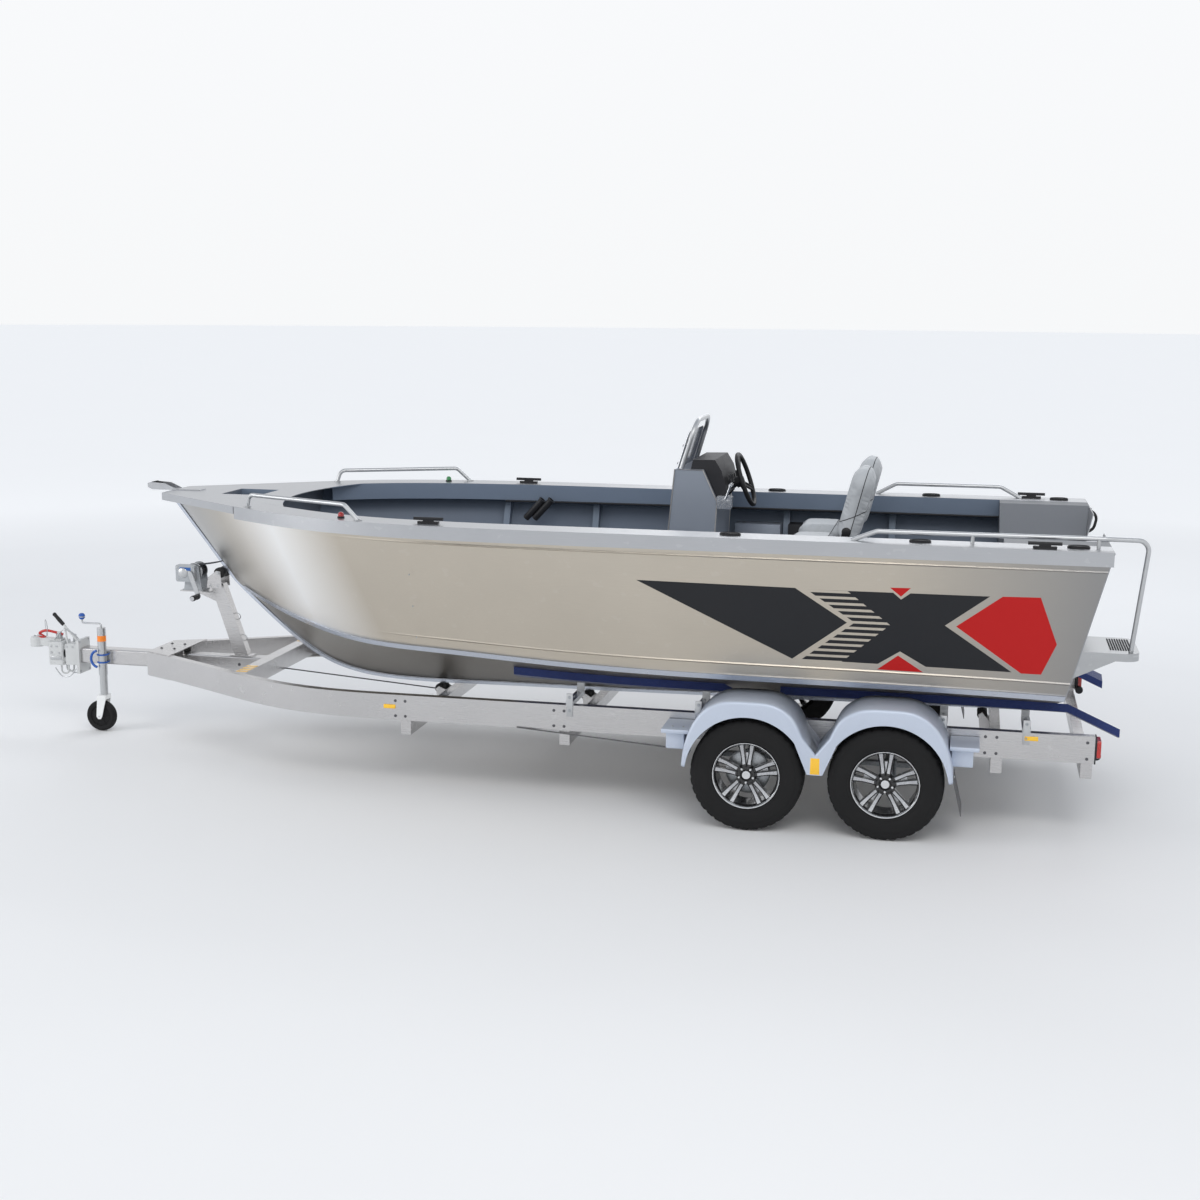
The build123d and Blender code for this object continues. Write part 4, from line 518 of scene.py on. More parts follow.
# ---- Console, wheel and screen ----
# A folded and welded aluminium pod carries the helm. Its hood is moulded black plastic with blank
# round gauges and four rocker switches; the tinted screen is bolted to a bent tube hoop.
console_paint = speckled("console_paint", (0.27, 0.30, 0.35), metallic=0.55)
dress(console_paint, "console")
hood_plastic = moulded("hood_plastic", (0.020, 0.020, 0.023), 0.5, 1400.0, 0.0005)
dress(hood_plastic, "dash")
grip_plastic = moulded("wheel_grip_plastic", (0.011, 0.011, 0.012), 0.42, 1100.0, 0.0006)
dress(grip_plastic, "steering_wheel")
lever_metal = rolled_metal("lever_metal", (0.83, 0.84, 0.86), 0.24, (9.0, 9.0, 9.0), 0.4)
dress(lever_metal, "throttle")
rail_metal = rolled_metal("rail_tube_metal", (0.60, 0.61, 0.62), 0.27, (8.0, 8.0, 8.0), 0.3)
rail_metal.vary("Roughness", 0.33 + rail_metal.grain * 0.1)
rail_metal.relief(rail_metal.grain, 0.00008)
dress(rail_metal, "windscreen_hoop", "bow_rails", "stern_rails")
console_low, console_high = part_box("console")
console_welds = Shape()
for y in (console_low[1] - 0.001, console_high[1] + 0.001):
    corner_line = [(-0.705, 0.86), (-0.793, 1.804), (-0.969, 1.804), (-1.06, 1.612), (-1.023, 0.86)]
    console_welds.tube([(x, y, z) for x, z in corner_line], 0.0042, 8)
console_welds.made("console_welds", "boat", "console_paint", weld_metal)

# The hood's sloping face, from its lower to its upper edge.
face_low, face_high = Vector((-1.141, 0, 1.668)), Vector((-1.103, 0, 1.797))
face_up = (face_high - face_low).normalized()
face_out = Vector((-face_up.z, 0, face_up.x))
gauge_rims, gauge_glass = Shape(), Shape()
for y, radius in ((-0.80, 0.030), (-0.725, 0.030), (-0.505, 0.030), (-0.43, 0.030)):
    middle = face_low.lerp(face_high, 0.55) + Vector((0, y, 0))
    gauge_rims.turned([(radius - 0.007, 0.001), (radius - 0.006, 0.005), (radius - 0.002, 0.007),
                       (radius, 0.005), (radius, 0.0)], middle, face_out, 32)
    glass = radius - 0.0065
    gauge_glass.turned([(0, 0.0015), (glass, 0.0015), (glass, 0.0)], middle, face_out, 32)
for y in (-0.655, -0.575):
    for z in (0.25, 0.6):
        middle = face_low.lerp(face_high, z) + Vector((0, y, 0))
        rocker = Vector((0.004, 0.011, 0.014))
        lean = Matrix.Rotation(math.atan2(face_up.x, face_up.z), 4, "Y")
        gauge_rims.block(middle - rocker, middle + rocker, 0.002, lean)
gauge_rims.made("gauge_rims", "boat", "black_moulding", fitting_plastic)
dial_face = moulded("dial_face", (0.045, 0.047, 0.052), 0.12, 300.0, 0.00005, 0.8)
gauge_glass.made("gauge_faces", "boat", "black_moulding", dial_face)


def pivot(joint):
    """The place that a joint turns about."""
    return next(Vector(found["pos_m"]) for found in frame["joints"] if found["name"] == joint)


WHEEL_TILT = math.radians(19)
RIM_CENTRE, RIM_THICK = 0.1643, 0.0148
column = Vector((-math.cos(WHEEL_TILT), 0, math.sin(WHEEL_TILT)))
wheel_up = column.cross(PORT)
wheel_centre = pivot("steering_turn")
hub_cap = Shape()
hub_cap.turned([(0.0, 0.0), (0.030, 0.0), (0.034, 0.004), (0.033, 0.010), (0.026, 0.015), (0.0, 0.017)],
               wheel_centre - column * 0.026, column, 36)
for spoke in range(3):
    turn = math.radians(270 + spoke * 120)
    arm = PORT * math.cos(turn) + wheel_up * math.sin(turn)
    side_way = column.cross(arm)
    line = [(0.03, -0.030), (0.075, -0.018), (0.125, -0.004), (0.155, 0.0)]
    for edge in (-1, 1):
        bar = wheel_centre + side_way * edge * 0.012
        hub_cap.tube(eased([bar + arm * r + column * h for r, h in line], 5), 0.0075, 10)
hub_cap.made("steering_wheel_spokes", "helm_wheel", "wheel_grip", grip_plastic)
grip_ring = Shape()
grip_ring.tube(once_round(wheel_centre, PORT * RIM_CENTRE, wheel_up * RIM_CENTRE, 96), RIM_THICK, 16, True)
grip_ring.made("steering_wheel_grip", "helm_wheel", "wheel_grip", grip_plastic)
stitches = Shape()
stitch_ring = RIM_CENTRE - RIM_THICK + 0.0004
for place in once_round(wheel_centre, PORT * stitch_ring, wheel_up * stitch_ring, 72):
    stitches.tube([place - column * 0.004, place + column * 0.004], 0.0011, 6)
stitches.made("wheel_rim_stitches", "helm_wheel", "wheel_grip", dark_shell)

screen = Finish("screen_tint", roughness=0.08)
screen.shader.inputs["Transmission Weight"].default_value = 0.55
screen.shader.inputs["IOR"].default_value = 1.49
haze = screen.noise(5.0, detail=5.0)
screen.colour(screen.mix(haze, (0.035, 0.045, 0.075), (0.06, 0.075, 0.11)))
screen.vary("Roughness", 0.05 + haze * 0.08)
screen.vary("Alpha", 0.86 + haze * 0.08)
dress(screen, "windscreen")
screen_bolts = Shape()
for y in (-0.888, -0.332):
    for z in (1.84, 1.95):
        x = -0.797 - 0.3 * (z - 1.81)
        screen_bolts.turned([(0, 0.0), (0.009, 0.0), (0.009, 0.002), (0.006, 0.004), (0, 0.0045)],
                            (x, y * 0.985 - 0.0091, z), (1, 0, 0.3), 16)
screen_bolts.made("screen_bolts", "boat", "rail_alu", rail_metal)
cables = Shape()
for y in (-0.61, -0.64):
    cables.tube(eased([(-1.01, y, 1.60), (-1.08, y, 1.62), (-1.12, y, 1.66)], 6), 0.006, 10)
cables.made("helm_cables", "boat", "black_moulding", dark_shell)


# ---- Seats ----
# Two folding helm seats: foam cushions and backs covered in light grey marine vinyl with black
# piping, on black moulded shells with hinge arms, each turning on a tube pedestal.
SEAT_SHIFT = Vector((0, 0.63, 0))
BACK_LEAN = math.radians(-14)
back_pivot = pivot("helm_back_fold")


def vinyl_finish(name, colour):
    finish = Finish(name, roughness=0.46)
    finish.shader.inputs["Sheen Weight"].default_value = 0.12
    leather = finish.cells(260.0)
    fine = finish.noise(900.0, detail=3.0)
    clouds = finish.noise(5.5, detail=5.0)
    light = tuple(min(1.0, c * 1.16) for c in colour)
    shade = finish.mix((clouds * 0.9 + fine * 0.3 - 0.1).clamped(), tuple(c * 0.9 for c in colour), light)
    finish.colour(finish.mix(leather * 0.3, shade, tuple(c * 0.75 for c in colour)))
    finish.vary("Roughness", 0.38 + clouds * 0.14 + leather * 0.1)
    finish.relief(leather * 0.8 + fine * 0.3 + finish.noise(22.0, detail=4.0) * 1.4, 0.0007)
    return finish


def rounded_ring(half_width, low, high, top_radius, low_radius, steps=8):
    """Corners of a rectangle with rounded corners, as (across, up)."""
    ring = []
    for sign, level, radius, start in ((1, low, low_radius, -90), (1, high, top_radius, 0),
                                       (-1, high, top_radius, 90), (-1, low, low_radius, 180)):
        centre = (sign * (half_width - radius), level + radius if level == low else level - radius)
        for i in range(steps + 1):
            turn = math.radians(start + 90 * i / steps)
            ring.append((centre[0] + radius * math.cos(turn), centre[1] + radius * math.sin(turn)))
    return ring


def pad_mesh(name, place, half_width, low, high, top_radius, low_radius, half_thick, round_edge):
    """A thick rounded pad; place(across, up, through) says where each of its points is."""
    shape = Shape()
    rings = []
    for i in range(9):
        turn = math.pi * i / 8
        face = (i > 4) - (i < 4)
        inset = round_edge * (1 - math.sin(turn))
        through = face * (half_thick - round_edge) - math.cos(turn) * round_edge
        ring = rounded_ring(half_width - inset, low + inset, high - inset, max(top_radius - inset, 0.012),
                            max(low_radius - inset, 0.012))
        rings.append([shape.corner(place(a, u, through)) for a, u in ring])
    shape.through(rings)
    bmesh.ops.recalc_face_normals(shape.mesh, faces=shape.mesh.faces)
    data = bpy.data.meshes.new(name)
    shape.mesh.to_mesh(data)
    shape.mesh.free()
    piece = bpy.data.objects.new(name, data)
    bpy.context.scene.collection.objects.link(piece)
    return piece


def stuffed(piece, most, flat=None):
    """The pad swollen by its foam, no point moving further than most; flat() keeps it off its seat."""
    scene = bpy.context.scene
    bpy.context.view_layer.objects.active = piece
    remesh = piece.modifiers.new("even", "REMESH")
    remesh.mode = "VOXEL"
    remesh.voxel_size = 0.006
    bpy.ops.object.modifier_apply(modifier=remesh.name)
    start = [vert.co.copy() for vert in piece.data.vertices]
    cloth = piece.modifiers.new("cover", "CLOTH")
    cloth.settings.quality = 6
    cloth.settings.use_pressure = True
    cloth.settings.uniform_pressure_force = 4.0
    cloth.settings.effector_weights.gravity = 0.0
    cloth.settings.mass = 0.3
    cloth.point_cache.frame_start, cloth.point_cache.frame_end = 1, 20
    for number in range(1, 21):
        scene.frame_set(number)
    view = bpy.context.evaluated_depsgraph_get()
    swollen = [vert.co.copy() for vert in piece.evaluated_get(view).data.vertices]
    piece.modifiers.remove(cloth)
    scene.frame_set(1)
    for vert, before, after in zip(piece.data.vertices, start, swollen):
        move = after - before
        vert.co = before + (move if move.length < most else move.normalized() * most)
    smooth = piece.modifiers.new("even_out", "SMOOTH")
    smooth.factor, smooth.iterations = 0.5, 4
    bpy.ops.object.modifier_apply(modifier=smooth.name)
    if flat:
        for vert in piece.data.vertices:
            vert.co = flat(vert.co)
    finer = piece.modifiers.new("finer", "SUBSURF")
    finer.levels = finer.render_levels = 1
    bpy.ops.object.modifier_apply(modifier=finer.name)
    piece.data.shade_smooth()


def piping(piece, centre, first, second, radius, count=120):
    """A bead of piping where a plane through the pad cuts its cover."""
    centre, first, second = Vector(centre), Vector(first).normalized(), Vector(second).normalized()
    line = []
    for i in range(count):
        turn = 2 * math.pi * i / count
        way = first * math.cos(turn) + second * math.sin(turn)
        hit, place, _, _ = piece.ray_cast(centre, way)
        if hit:
            line.append(place - way * radius * 0.2)
    bead = Shape()
    bead.tube(line, radius, 8, True)
    return bead


def seat_copy(piece, name, body):
    double = bpy.data.objects.new(name, piece.data.copy())
    bpy.context.scene.collection.objects.link(double)
    for vert in double.data.vertices:
        vert.co += SEAT_SHIFT
    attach(double, body)
    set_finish(double, piece["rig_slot"])
    return double


seat_vinyl = vinyl_finish("seat_vinyl", (0.46, 0.48, 0.50))
piping_vinyl = moulded("piping_vinyl", (0.02, 0.02, 0.022), 0.45)
seat_black = moulded("seat_shell_plastic", (0.017, 0.017, 0.018), 0.42, 700.0, 0.0004)
pedestal_metal = rolled_metal("pedestal_metal", (0.56, 0.57, 0.59), 0.28, (9.0, 9.0, 1.0), 0.5)
dress(seat_black, "helm_seat_base", "mate_seat_base")
dress(pedestal_metal, "seat_pedestals")

low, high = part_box("helm_cushion")
cushion_mid = [(a + b) / 2 for a, b in zip(low, high)]
half = [(b - a) / 2 for a, b in zip(low, high)]


def cushion_place(a, u, through):
    return (cushion_mid[0] + u, cushion_mid[1] + a, cushion_mid[2] + through)


cushion = pad_mesh("helm_seat_cushion", cushion_place, half[1] - 0.006, -half[0] + 0.006, half[0] - 0.004,
                   0.075, 0.05, half[2] - 0.004, 0.040)
stuffed(cushion, 0.014, lambda co: Vector((co.x, co.y, max(co.z, low[2] + 0.0004))))
cushion.data.materials.append(seat_vinyl.material)
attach(cushion, "helm_seat")
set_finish(cushion, "seat_vinyl")
bead = piping(cushion, (*cushion_mid[:2], low[2] + 0.030), AHEAD, PORT, 0.0028, 160)
cushion_bead = bead.made("helm_cushion_piping", "helm_seat", "seat_vinyl", piping_vinyl)
bead = piping(cushion, (low[0] + 0.085, *cushion_mid[1:]), PORT, (-0.55, 0, 1), 0.0024)
cushion_seam = bead.made("helm_cushion_seam", "helm_seat", "seat_vinyl", piping_vinyl)

BACK_FOOT, BACK_HEAD, BACK_HALF = -0.072, 0.386, 0.187
lean = Matrix.Rotation(BACK_LEAN, 4, "Y")


def back_place(a, u, through):
    return back_pivot + lean @ Vector((through - 0.008, a, u))


back = pad_mesh("helm_seat_back", back_place, BACK_HALF, BACK_FOOT, BACK_HEAD, 0.115, 0.05, 0.048, 0.047)
stuffed(back, 0.018)
back.data.materials.append(seat_vinyl.material)
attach(back, "helm_back")
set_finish(back, "seat_vinyl")
bead = piping(back, back_place(0, 0.085, 0), lean @ PORT, lean @ Vector((1, 0, -0.75)), 0.0026)
back_seam = bead.made("helm_back_seam", "helm_back", "seat_vinyl", piping_vinyl)
bead = piping(back, back_place(0, 0.157, -0.014), lean @ PORT, lean @ UP, 0.0026, 200)
back_bead = bead.made("helm_back_piping", "helm_back", "seat_vinyl", piping_vinyl)
hinge_caps = Shape()
for side in (-1, 1):
    middle = back_pivot + Vector((0, side * 0.2045, 0))
    hinge_caps.turned([(0, 0.0), (0.026, 0.0), (0.027, 0.003), (0.020, 0.007), (0.008, 0.009), (0.0, 0.009)],
                      middle, (0, side, 0), 28)
    hinge_caps.bolt(middle + Vector((0, side * 0.0085, 0)), (0, side, 0), 0.007)
caps = hinge_caps.made("helm_hinge_caps", "helm_seat", "seat_shell", seat_black)
mate_cushion = seat_copy(cushion, "mate_seat_cushion", "mate_seat")
seat_copy(cushion_bead, "mate_cushion_piping", "mate_seat")
seat_copy(cushion_seam, "mate_cushion_seam", "mate_seat")
mate_back = seat_copy(back, "mate_seat_back", "mate_back")
seat_copy(back_seam, "mate_back_seam", "mate_back")
seat_copy(back_bead, "mate_back_piping", "mate_back")
seat_copy(caps, "mate_hinge_caps", "mate_seat")
for pad, node in ((mate_cushion, "mate_cushion"), (mate_back, "mate_backrest"),
                  (cushion, "helm_cushion"), (back, "helm_backrest")):
    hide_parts(node)
seat_bolts = Shape()
for y in (-0.6, 0.03):
    for i in range(6):
        turn = math.pi / 6 + i * math.pi / 3
        around = Vector((math.cos(turn), math.sin(turn), 0)) * 0.095
        seat_bolts.bolt(Vector((-1.743, y, 0.8585)) + around, UP, 0.008)
    seat_bolts.turned([(0.0362, 0.0), (0.044, 0.0), (0.046, 0.010), (0.040, 0.024), (0.0362, 0.026)],
                      (-1.743, y, 0.8585), UP, 40)
seat_bolts.made("pedestal_bolts", "boat", "pedestal_alu", pedestal_metal)


# ---- Rail feet, cleats and bow lamps ----
# The rails are welded to round feet and screwed down. Flush rod holders have black rims round
# dark wells; the navigation lamps are clear domes, red to port and green to starboard.
rail_feet = Shape()
for foot_x, foot_y in ((0.772, 1.018), (1.59, 0.735)):
    for side in (-1, 1):
        for dx in (-0.01202, 0.01202):
            for dy in (-0.01202, 0.01202):
                rail_feet.turned([(0, 0.0), (0.0034, 0.0), (0.003, 0.0016), (0, 0.002)],
                                 (foot_x + dx, side * (foot_y + dy), 1.6105), UP, 10)
rail_feet.made("rail_foot_screws", "boat", "rail_alu", rail_metal)

rod_rims, rod_wells = Shape(), Shape()
for x in (-3.1425, -2.3425, -1.3425):
    for side in (-1, 1):
        middle = Vector((x, side * 1.082, 1.612))
        rod_rims.tube(once_round(middle + UP * 0.0015, AHEAD * 0.050, PORT * 0.026, 36), 0.0036, 8, True)
        mouth = once_round(middle + UP * 0.0008, AHEAD * 0.045, PORT * 0.021, 36)
        rod_wells.join([rod_wells.corner(place) for place in mouth],
                       [rod_wells.corner(middle + UP * 0.0002)])
rod_rims.made("rod_holder_rims", "boat", "fitting_black", fitting_plastic)
rod_wells.made("rod_holder_wells", "boat", "fitting_black", dark_shell)

for side, name, colour in ((1, "port", (0.55, 0.012, 0.012)), (-1, "starboard", (0.015, 0.30, 0.07))):
    lens = Finish("nav_lens_" + name, roughness=0.08, coat=0.6)
    ribs = lens.noise(160.0, (1, 1, 6))
    lens.colour(lens.mix(ribs, tuple(c * 0.5 for c in colour), colour))
    lens.relief(ribs, 0.0006)
    centre = (0.894, side * 1.001, 1.6065)
    dome = Shape()
    dome.turned([(0, 0.0), (0.0165, 0.0), (0.0165, 0.019), (0.0145, 0.027), (0.009, 0.032), (0, 0.0335)],
                centre, UP, 32)
    lamp = dome.made("nav_lamp_" + name, "boat", "nav_lens", lens)
    collar = Shape()
    collar.turned([(0.0162, 0.0), (0.0205, 0.0), (0.0208, 0.006), (0.0175, 0.009), (0.0168, 0.009)],
                  centre, UP, 32)
    collar.made("nav_collar_" + name, "boat", "fitting_black", fitting_plastic)
    if side == 1:
        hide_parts("nav_lights")


# ---- Step and hose at the stern ----
# A swim step with a ribbed rubber tread is welded to the port quarter, with a thick rolled rim. The
# motor's hose loops out of the starboard quarter through two grommets.
step_metal = rolled_metal("step_metal", (0.52, 0.53, 0.54), 0.3, (30.0, 0.8, 30.0), 0.5)
dress(step_metal, "boarding_platform")
hose_rubber = moulded("hose_rubber", (0.013, 0.013, 0.014), 0.55, 600.0, 0.0006)
dress(hose_rubber, "rigging_hose")
step_low, step_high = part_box("boarding_platform")
tread_rubber = moulded("step_tread_rubber", (0.025, 0.026, 0.028), 0.7, 700.0, 0.0008)
tread = Shape()
for i in range(9):
    x = step_low[0] + 0.034 + i * 0.013
    tread.block((x, step_low[1] + 0.055, step_high[2] - 0.002),
                (x + 0.008, step_high[1] - 0.090, step_high[2] + 0.0035), 0.0015)
tread.made("step_tread", "boat", "platform_alu", tread_rubber)
rim = Shape()
rim_points = [(-3.325, 0.572), (-3.44, 0.574), (-3.470, 0.592), (-3.482, 0.64), (-3.482, 0.92),
              (-3.470, 0.968),
              (-3.44, 0.986), (-3.35, 0.988)]
rim.tube(eased([(x, y, 1.030) for x, y in rim_points], 6), 0.0085, 12)
rim.made("step_rim", "boat", "platform_alu", rail_metal)
grommets = Shape()
for z in (1.4235, 1.5615):
    grommets.turned([(0.0092, 0.0), (0.017, 0.0), (0.016, 0.007), (0.0095, 0.010)],
                    (-3.300 - (z - 1.42) * 0.19, -0.925, z), -AHEAD, 24)
grommets.made("hose_grommets", "boat", "hose_rubber", dark_shell)


# ---- Trailer frame ----
# Folded aluminium channels, bent in to the drawbar, with box cross members bolted between them.
# Amber markers, tape and dark bolts are fixed along the outer faces.
BEAM_FACE = 0.9155
beam_metal = rolled_metal("beam_metal", (0.64, 0.63, 0.63), 0.26, (0.5, 60.0, 60.0), 0.5)
dress(beam_metal, "side_beams", "cross_members", "drawbar")
galvanised = rolled_metal("galvanised_steel", (0.60, 0.62, 0.64), 0.40, (1.0, 1.0, 1.0), 0.2)
spangle = galvanised.cells(85.0)
galvanised.colour(galvanised.mix(spangle, (0.30, 0.32, 0.34), (0.54, 0.56, 0.58)))
galvanised.vary("Roughness", 0.3 + spangle * 0.25)
zinc = rolled_metal("zinc_plate", (0.60, 0.61, 0.62), 0.3, (4.0, 4.0, 4.0), 0.5)
dark_steel = rolled_metal("dark_bolt_steel", (0.16, 0.16, 0.17), 0.38, (9.0, 9.0, 9.0), 0.3)
frame_bolts = Shape()
for x in (0.560, 0.620, -0.390, -0.330, -2.790, -2.730, -3.262):
    for side in (-1, 1):
        y = BEAM_FACE if x < 0 else 0.914
        for z in (0.445, 0.535):
            frame_bolts.bolt((x, side * y, z), (0, side, 0), 0.0085)
for x in (2.43, 2.52):
    for y in (-0.075, 0.075):
        frame_bolts.bolt((x, y, 0.5768), UP, 0.010)
for x in (1.83, 1.99, 2.38):
    for side in (-1, 1):
        frame_bolts.bolt((x, side * 0.0505, 0.49), (0, side, 0), 0.010)
frame_bolts.made("frame_bolts", "boat", "trailer_alu", dark_steel)

amber = Finish("amber_reflector", roughness=0.14, coat=0.7)
prisms = amber.cells(260.0)
amber.colour(amber.mix(prisms, (0.90, 0.42, 0.01), (1.0, 0.66, 0.03)))
amber.relief(prisms, 0.0004)
markers = Shape()
for side in (-1, 1):
    for x, z, y in ((0.655, 0.50, 0.9125), (-2.97, 0.54, BEAM_FACE)):
        markers.block((x - 0.036, side * (y - 0.001), z - 0.012),
                      (x + 0.036, side * (y + 0.008), z + 0.012), 0.003)
    markers.block((-1.872, side * 1.230, 0.352), (-1.820, side * 1.2405, 0.445), 0.003)
    for k in range(4):
        middle = 0.40 + k * 0.05
        markers.block((1.702, side * middle - 0.017, 0.5698), (1.773, side * middle + 0.017, 0.5712), 0.0005)
markers.made("amber_markers", "boat", "lamp_red", amber)

beam_caps = Shape()
for side in (-1, 1):
    beam_caps.block((-3.3085, side * 0.862, 0.418), (-3.300, side * BEAM_FACE, 0.572), 0.002)
    beam_caps.turned([(0, 0), (0.020, 0), (0.024, 0.006), (0.024, 0.026), (0.020, 0.032), (0, 0.032)],
                     (-3.320, side * 0.780, 0.435), (0, side, 0), 24)
beam_caps.made("beam_end_caps", "boat", "roller_rubber", dark_shell)


# ---- Bunks and their brackets ----
# Timber skids wrapped in navy marine carpet lie under the hull, carried on bright zinc brackets
# that are clamped over the side beams.
carpet = Finish("bunk_carpet", roughness=0.95)
carpet.shader.inputs["Sheen Weight"].default_value = 0.5
tufts = carpet.noise(300.0, detail=6.0)
loops = carpet.cells(210.0)
wear = carpet.noise(4.0, detail=5.0)
pile = (tufts * 0.9 + wear * 0.5 - 0.3).clamped()
carpet.colour(carpet.mix(pile, (0.005, 0.014, 0.085), (0.026, 0.060, 0.26)))
carpet.relief(tufts + loops * 0.6, 0.0035)
dress(carpet, "bunks")
dress(zinc, "bunk_posts")
bracket_bolts = Shape()
straps = Shape()
for x in (-0.423, -1.163, -2.503, -2.943):
    for side in (-1, 1):
        for y in (0.70, 0.80):
            bracket_bolts.bolt((x, side * y, 0.5965), UP, 0.009)
        strap_face = BEAM_FACE + 0.006
        straps.block((x - 0.019, side * BEAM_FACE, 0.505), (x + 0.019, side * strap_face, 0.640), 0.0022)
        bracket_bolts.bolt((x, side * BEAM_FACE, 0.60), (0, side, 0), 0.008)
        for z in (0.540, 0.618):
            bracket_bolts.bolt((x, side * strap_face, z), (0, side, 0), 0.009)
straps.made("bunk_bracket_straps", "boat", "galvanised", zinc)
bracket_bolts.made("bunk_bracket_bolts", "boat", "galvanised", galvanised)


# ---- Keel rollers ----
# Black rubber rollers with ribs and steel pins, in the cross members, at the stem and in the bowsprit.
roller_rubber = moulded("roller_rubber", (0.014, 0.014, 0.015), 0.6, 500.0, 0.0008)
rollers = Shape()
pins = Shape()
RIBS = 10
for x, z, radius, half in ((0.631, 0.411, 0.030, 0.060), (-0.319, 0.418, 0.030, 0.060),
                           (-2.719, 0.447, 0.030, 0.060), (2.107, 1.086, 0.035, 0.060),
                           (2.552, 1.644, 0.017, 0.0395)):
    profile = [(0, -half), (radius * 0.75, -half), (radius, -half + 0.006)]
    for i in range(RIBS + 1):
        groove = 0.0022 if i % 2 else 0.0
        waist = 0.004 if radius > 0.02 and abs(i - RIBS / 2) < 2 else 0.0
        profile.append((radius - groove - waist, (half - 0.012) * (2 * i / RIBS - 1)))
    profile += [(radius, half - 0.006), (radius * 0.75, half), (0, half)]
    rollers.turned(profile, (x, 0, z), PORT, 36)
    thick, end = radius * 0.3, half + 0.008
    pins.turned([(0, -end), (thick, -end), (thick, end), (0, end)], (x, 0, z), PORT, 16)
roller_piece = rollers.made("ribbed_rollers", "boat", "roller_rubber", roller_rubber)
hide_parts("rollers")
pins.made("roller_pins", "boat", "galvanised", zinc)


# ---- Winch and its post ----
# A leaning post carries the bow roller and the hand winch: a grey cased gear, a zinc drum with the
# strap wound on it, and a crank with a black grip.
dress(beam_metal, "winch_post")
winch_paint = moulded("winch_case_paint", (0.36, 0.38, 0.40), 0.4, 500.0, 0.0003, 0.2)
dress(winch_paint, "winch")
dress(zinc, "winch_drum")
drum = pivot("winch_turn")
webbing = Finish("strap_webbing", roughness=0.85)
weave = webbing.noise(700.0, (1, 0.2, 1), 3.0)
webbing.colour(webbing.mix(weave, (0.02, 0.022, 0.026), (0.07, 0.075, 0.085)))
webbing.relief(weave, 0.0006)
wound = Shape()
layers = [(0.041 - 0.0012 * (i % 2), -0.026 + 0.052 * i / 12) for i in range(13)]
wound.turned([(0.0282, -0.026), *layers, (0.0282, 0.026)], drum, PORT, 40)
wound.made("wound_strap", "winch_reel", "winch_zinc", webbing)
crank_grip = Shape()
crank_grip.turned([(0.0142, 0.010), (0.0175, 0.012), (0.0185, 0.03), (0.0165, 0.05), (0.0185, 0.075),
                   (0.0175, 0.090), (0.010, 0.0945), (0, 0.095)],
                  drum + Vector((-0.055, 0.104, -0.150)), PORT, 28)
crank_grip.made("crank_grip", "winch_reel", "winch_zinc", grip_plastic)
case_face = Shape()
for dx, dz in ((-0.012, 0.034), (0.092, 0.034), (-0.012, -0.048), (0.092, -0.048)):
    case_face.bolt(drum + Vector((dx, 0.0922, dz)), PORT, 0.006)
case_face.turned([(0, 0), (0.030, 0), (0.032, 0.003), (0.028, 0.006), (0, 0.007)],
                 drum + Vector((0.055, 0.0915, -0.004)), PORT, 36)
case_face.made("winch_case_bolts", "boat", "winch_paint", zinc)
blank = moulded("blank_label_blue", (0.02, 0.10, 0.34), 0.3, 300.0, 0.00005, 0.4)
label = Shape()
label.block(drum + Vector((0, 0.0915, 0.012)), drum + Vector((0.075, 0.0928, 0.032)), 0.0005)
label.made("winch_label", "boat", "winch_paint", blank)

strap = Shape()
strap_line = eased([(drum.x - 0.010, 0, drum.z + 0.0405), (2.21, 0, 1.136), (2.135, 0, 1.15),
                    (2.085, 0, 1.165)])
for edge in (-0.022, -0.011, 0.0, 0.011, 0.022):
    strap.tube([point + PORT * edge for point in strap_line], 0.0035, 8)
strap.made("winch_strap", "boat", "winch_zinc", webbing)
eye = Shape()
eye.tube(once_round((2.065, 0, 1.172), AHEAD * 0.020, (0, 0.012, 0.020), 24), 0.0045, 10, True)
eye.made("bow_eye_ring", "boat", "galvanised", zinc)
# Two shackles hang at the post's back edge, two pins cross it, and bolts hold its foot and cheeks.
post_bolts = Shape()
for x, z in ((2.015, 0.80), (1.975, 0.66)):
    post_bolts.tube(once_round((x, 0, z), AHEAD * 0.022, (0, 0.008, 0.022), 20), 0.0024, 8, True)
for x, z in ((2.030, 0.72), (2.060, 0.86)):
    post_bolts.tube([(x, -0.0325, z), (x, 0.0325, z)], 0.006, 10)
for side in (-1, 1):
    for x in (1.945, 2.005):
        post_bolts.bolt((x, side * 0.038, 0.5485), UP, 0.008)
    for x, z, size in ((2.107, 1.086, 0.014), (2.115, 1.004, 0.008), (2.165, 1.004, 0.008)):
        post_bolts.bolt((x, side * 0.0665, z), (0, side, 0), size)
post_bolts.made("post_bolts", "boat", "galvanised", zinc)


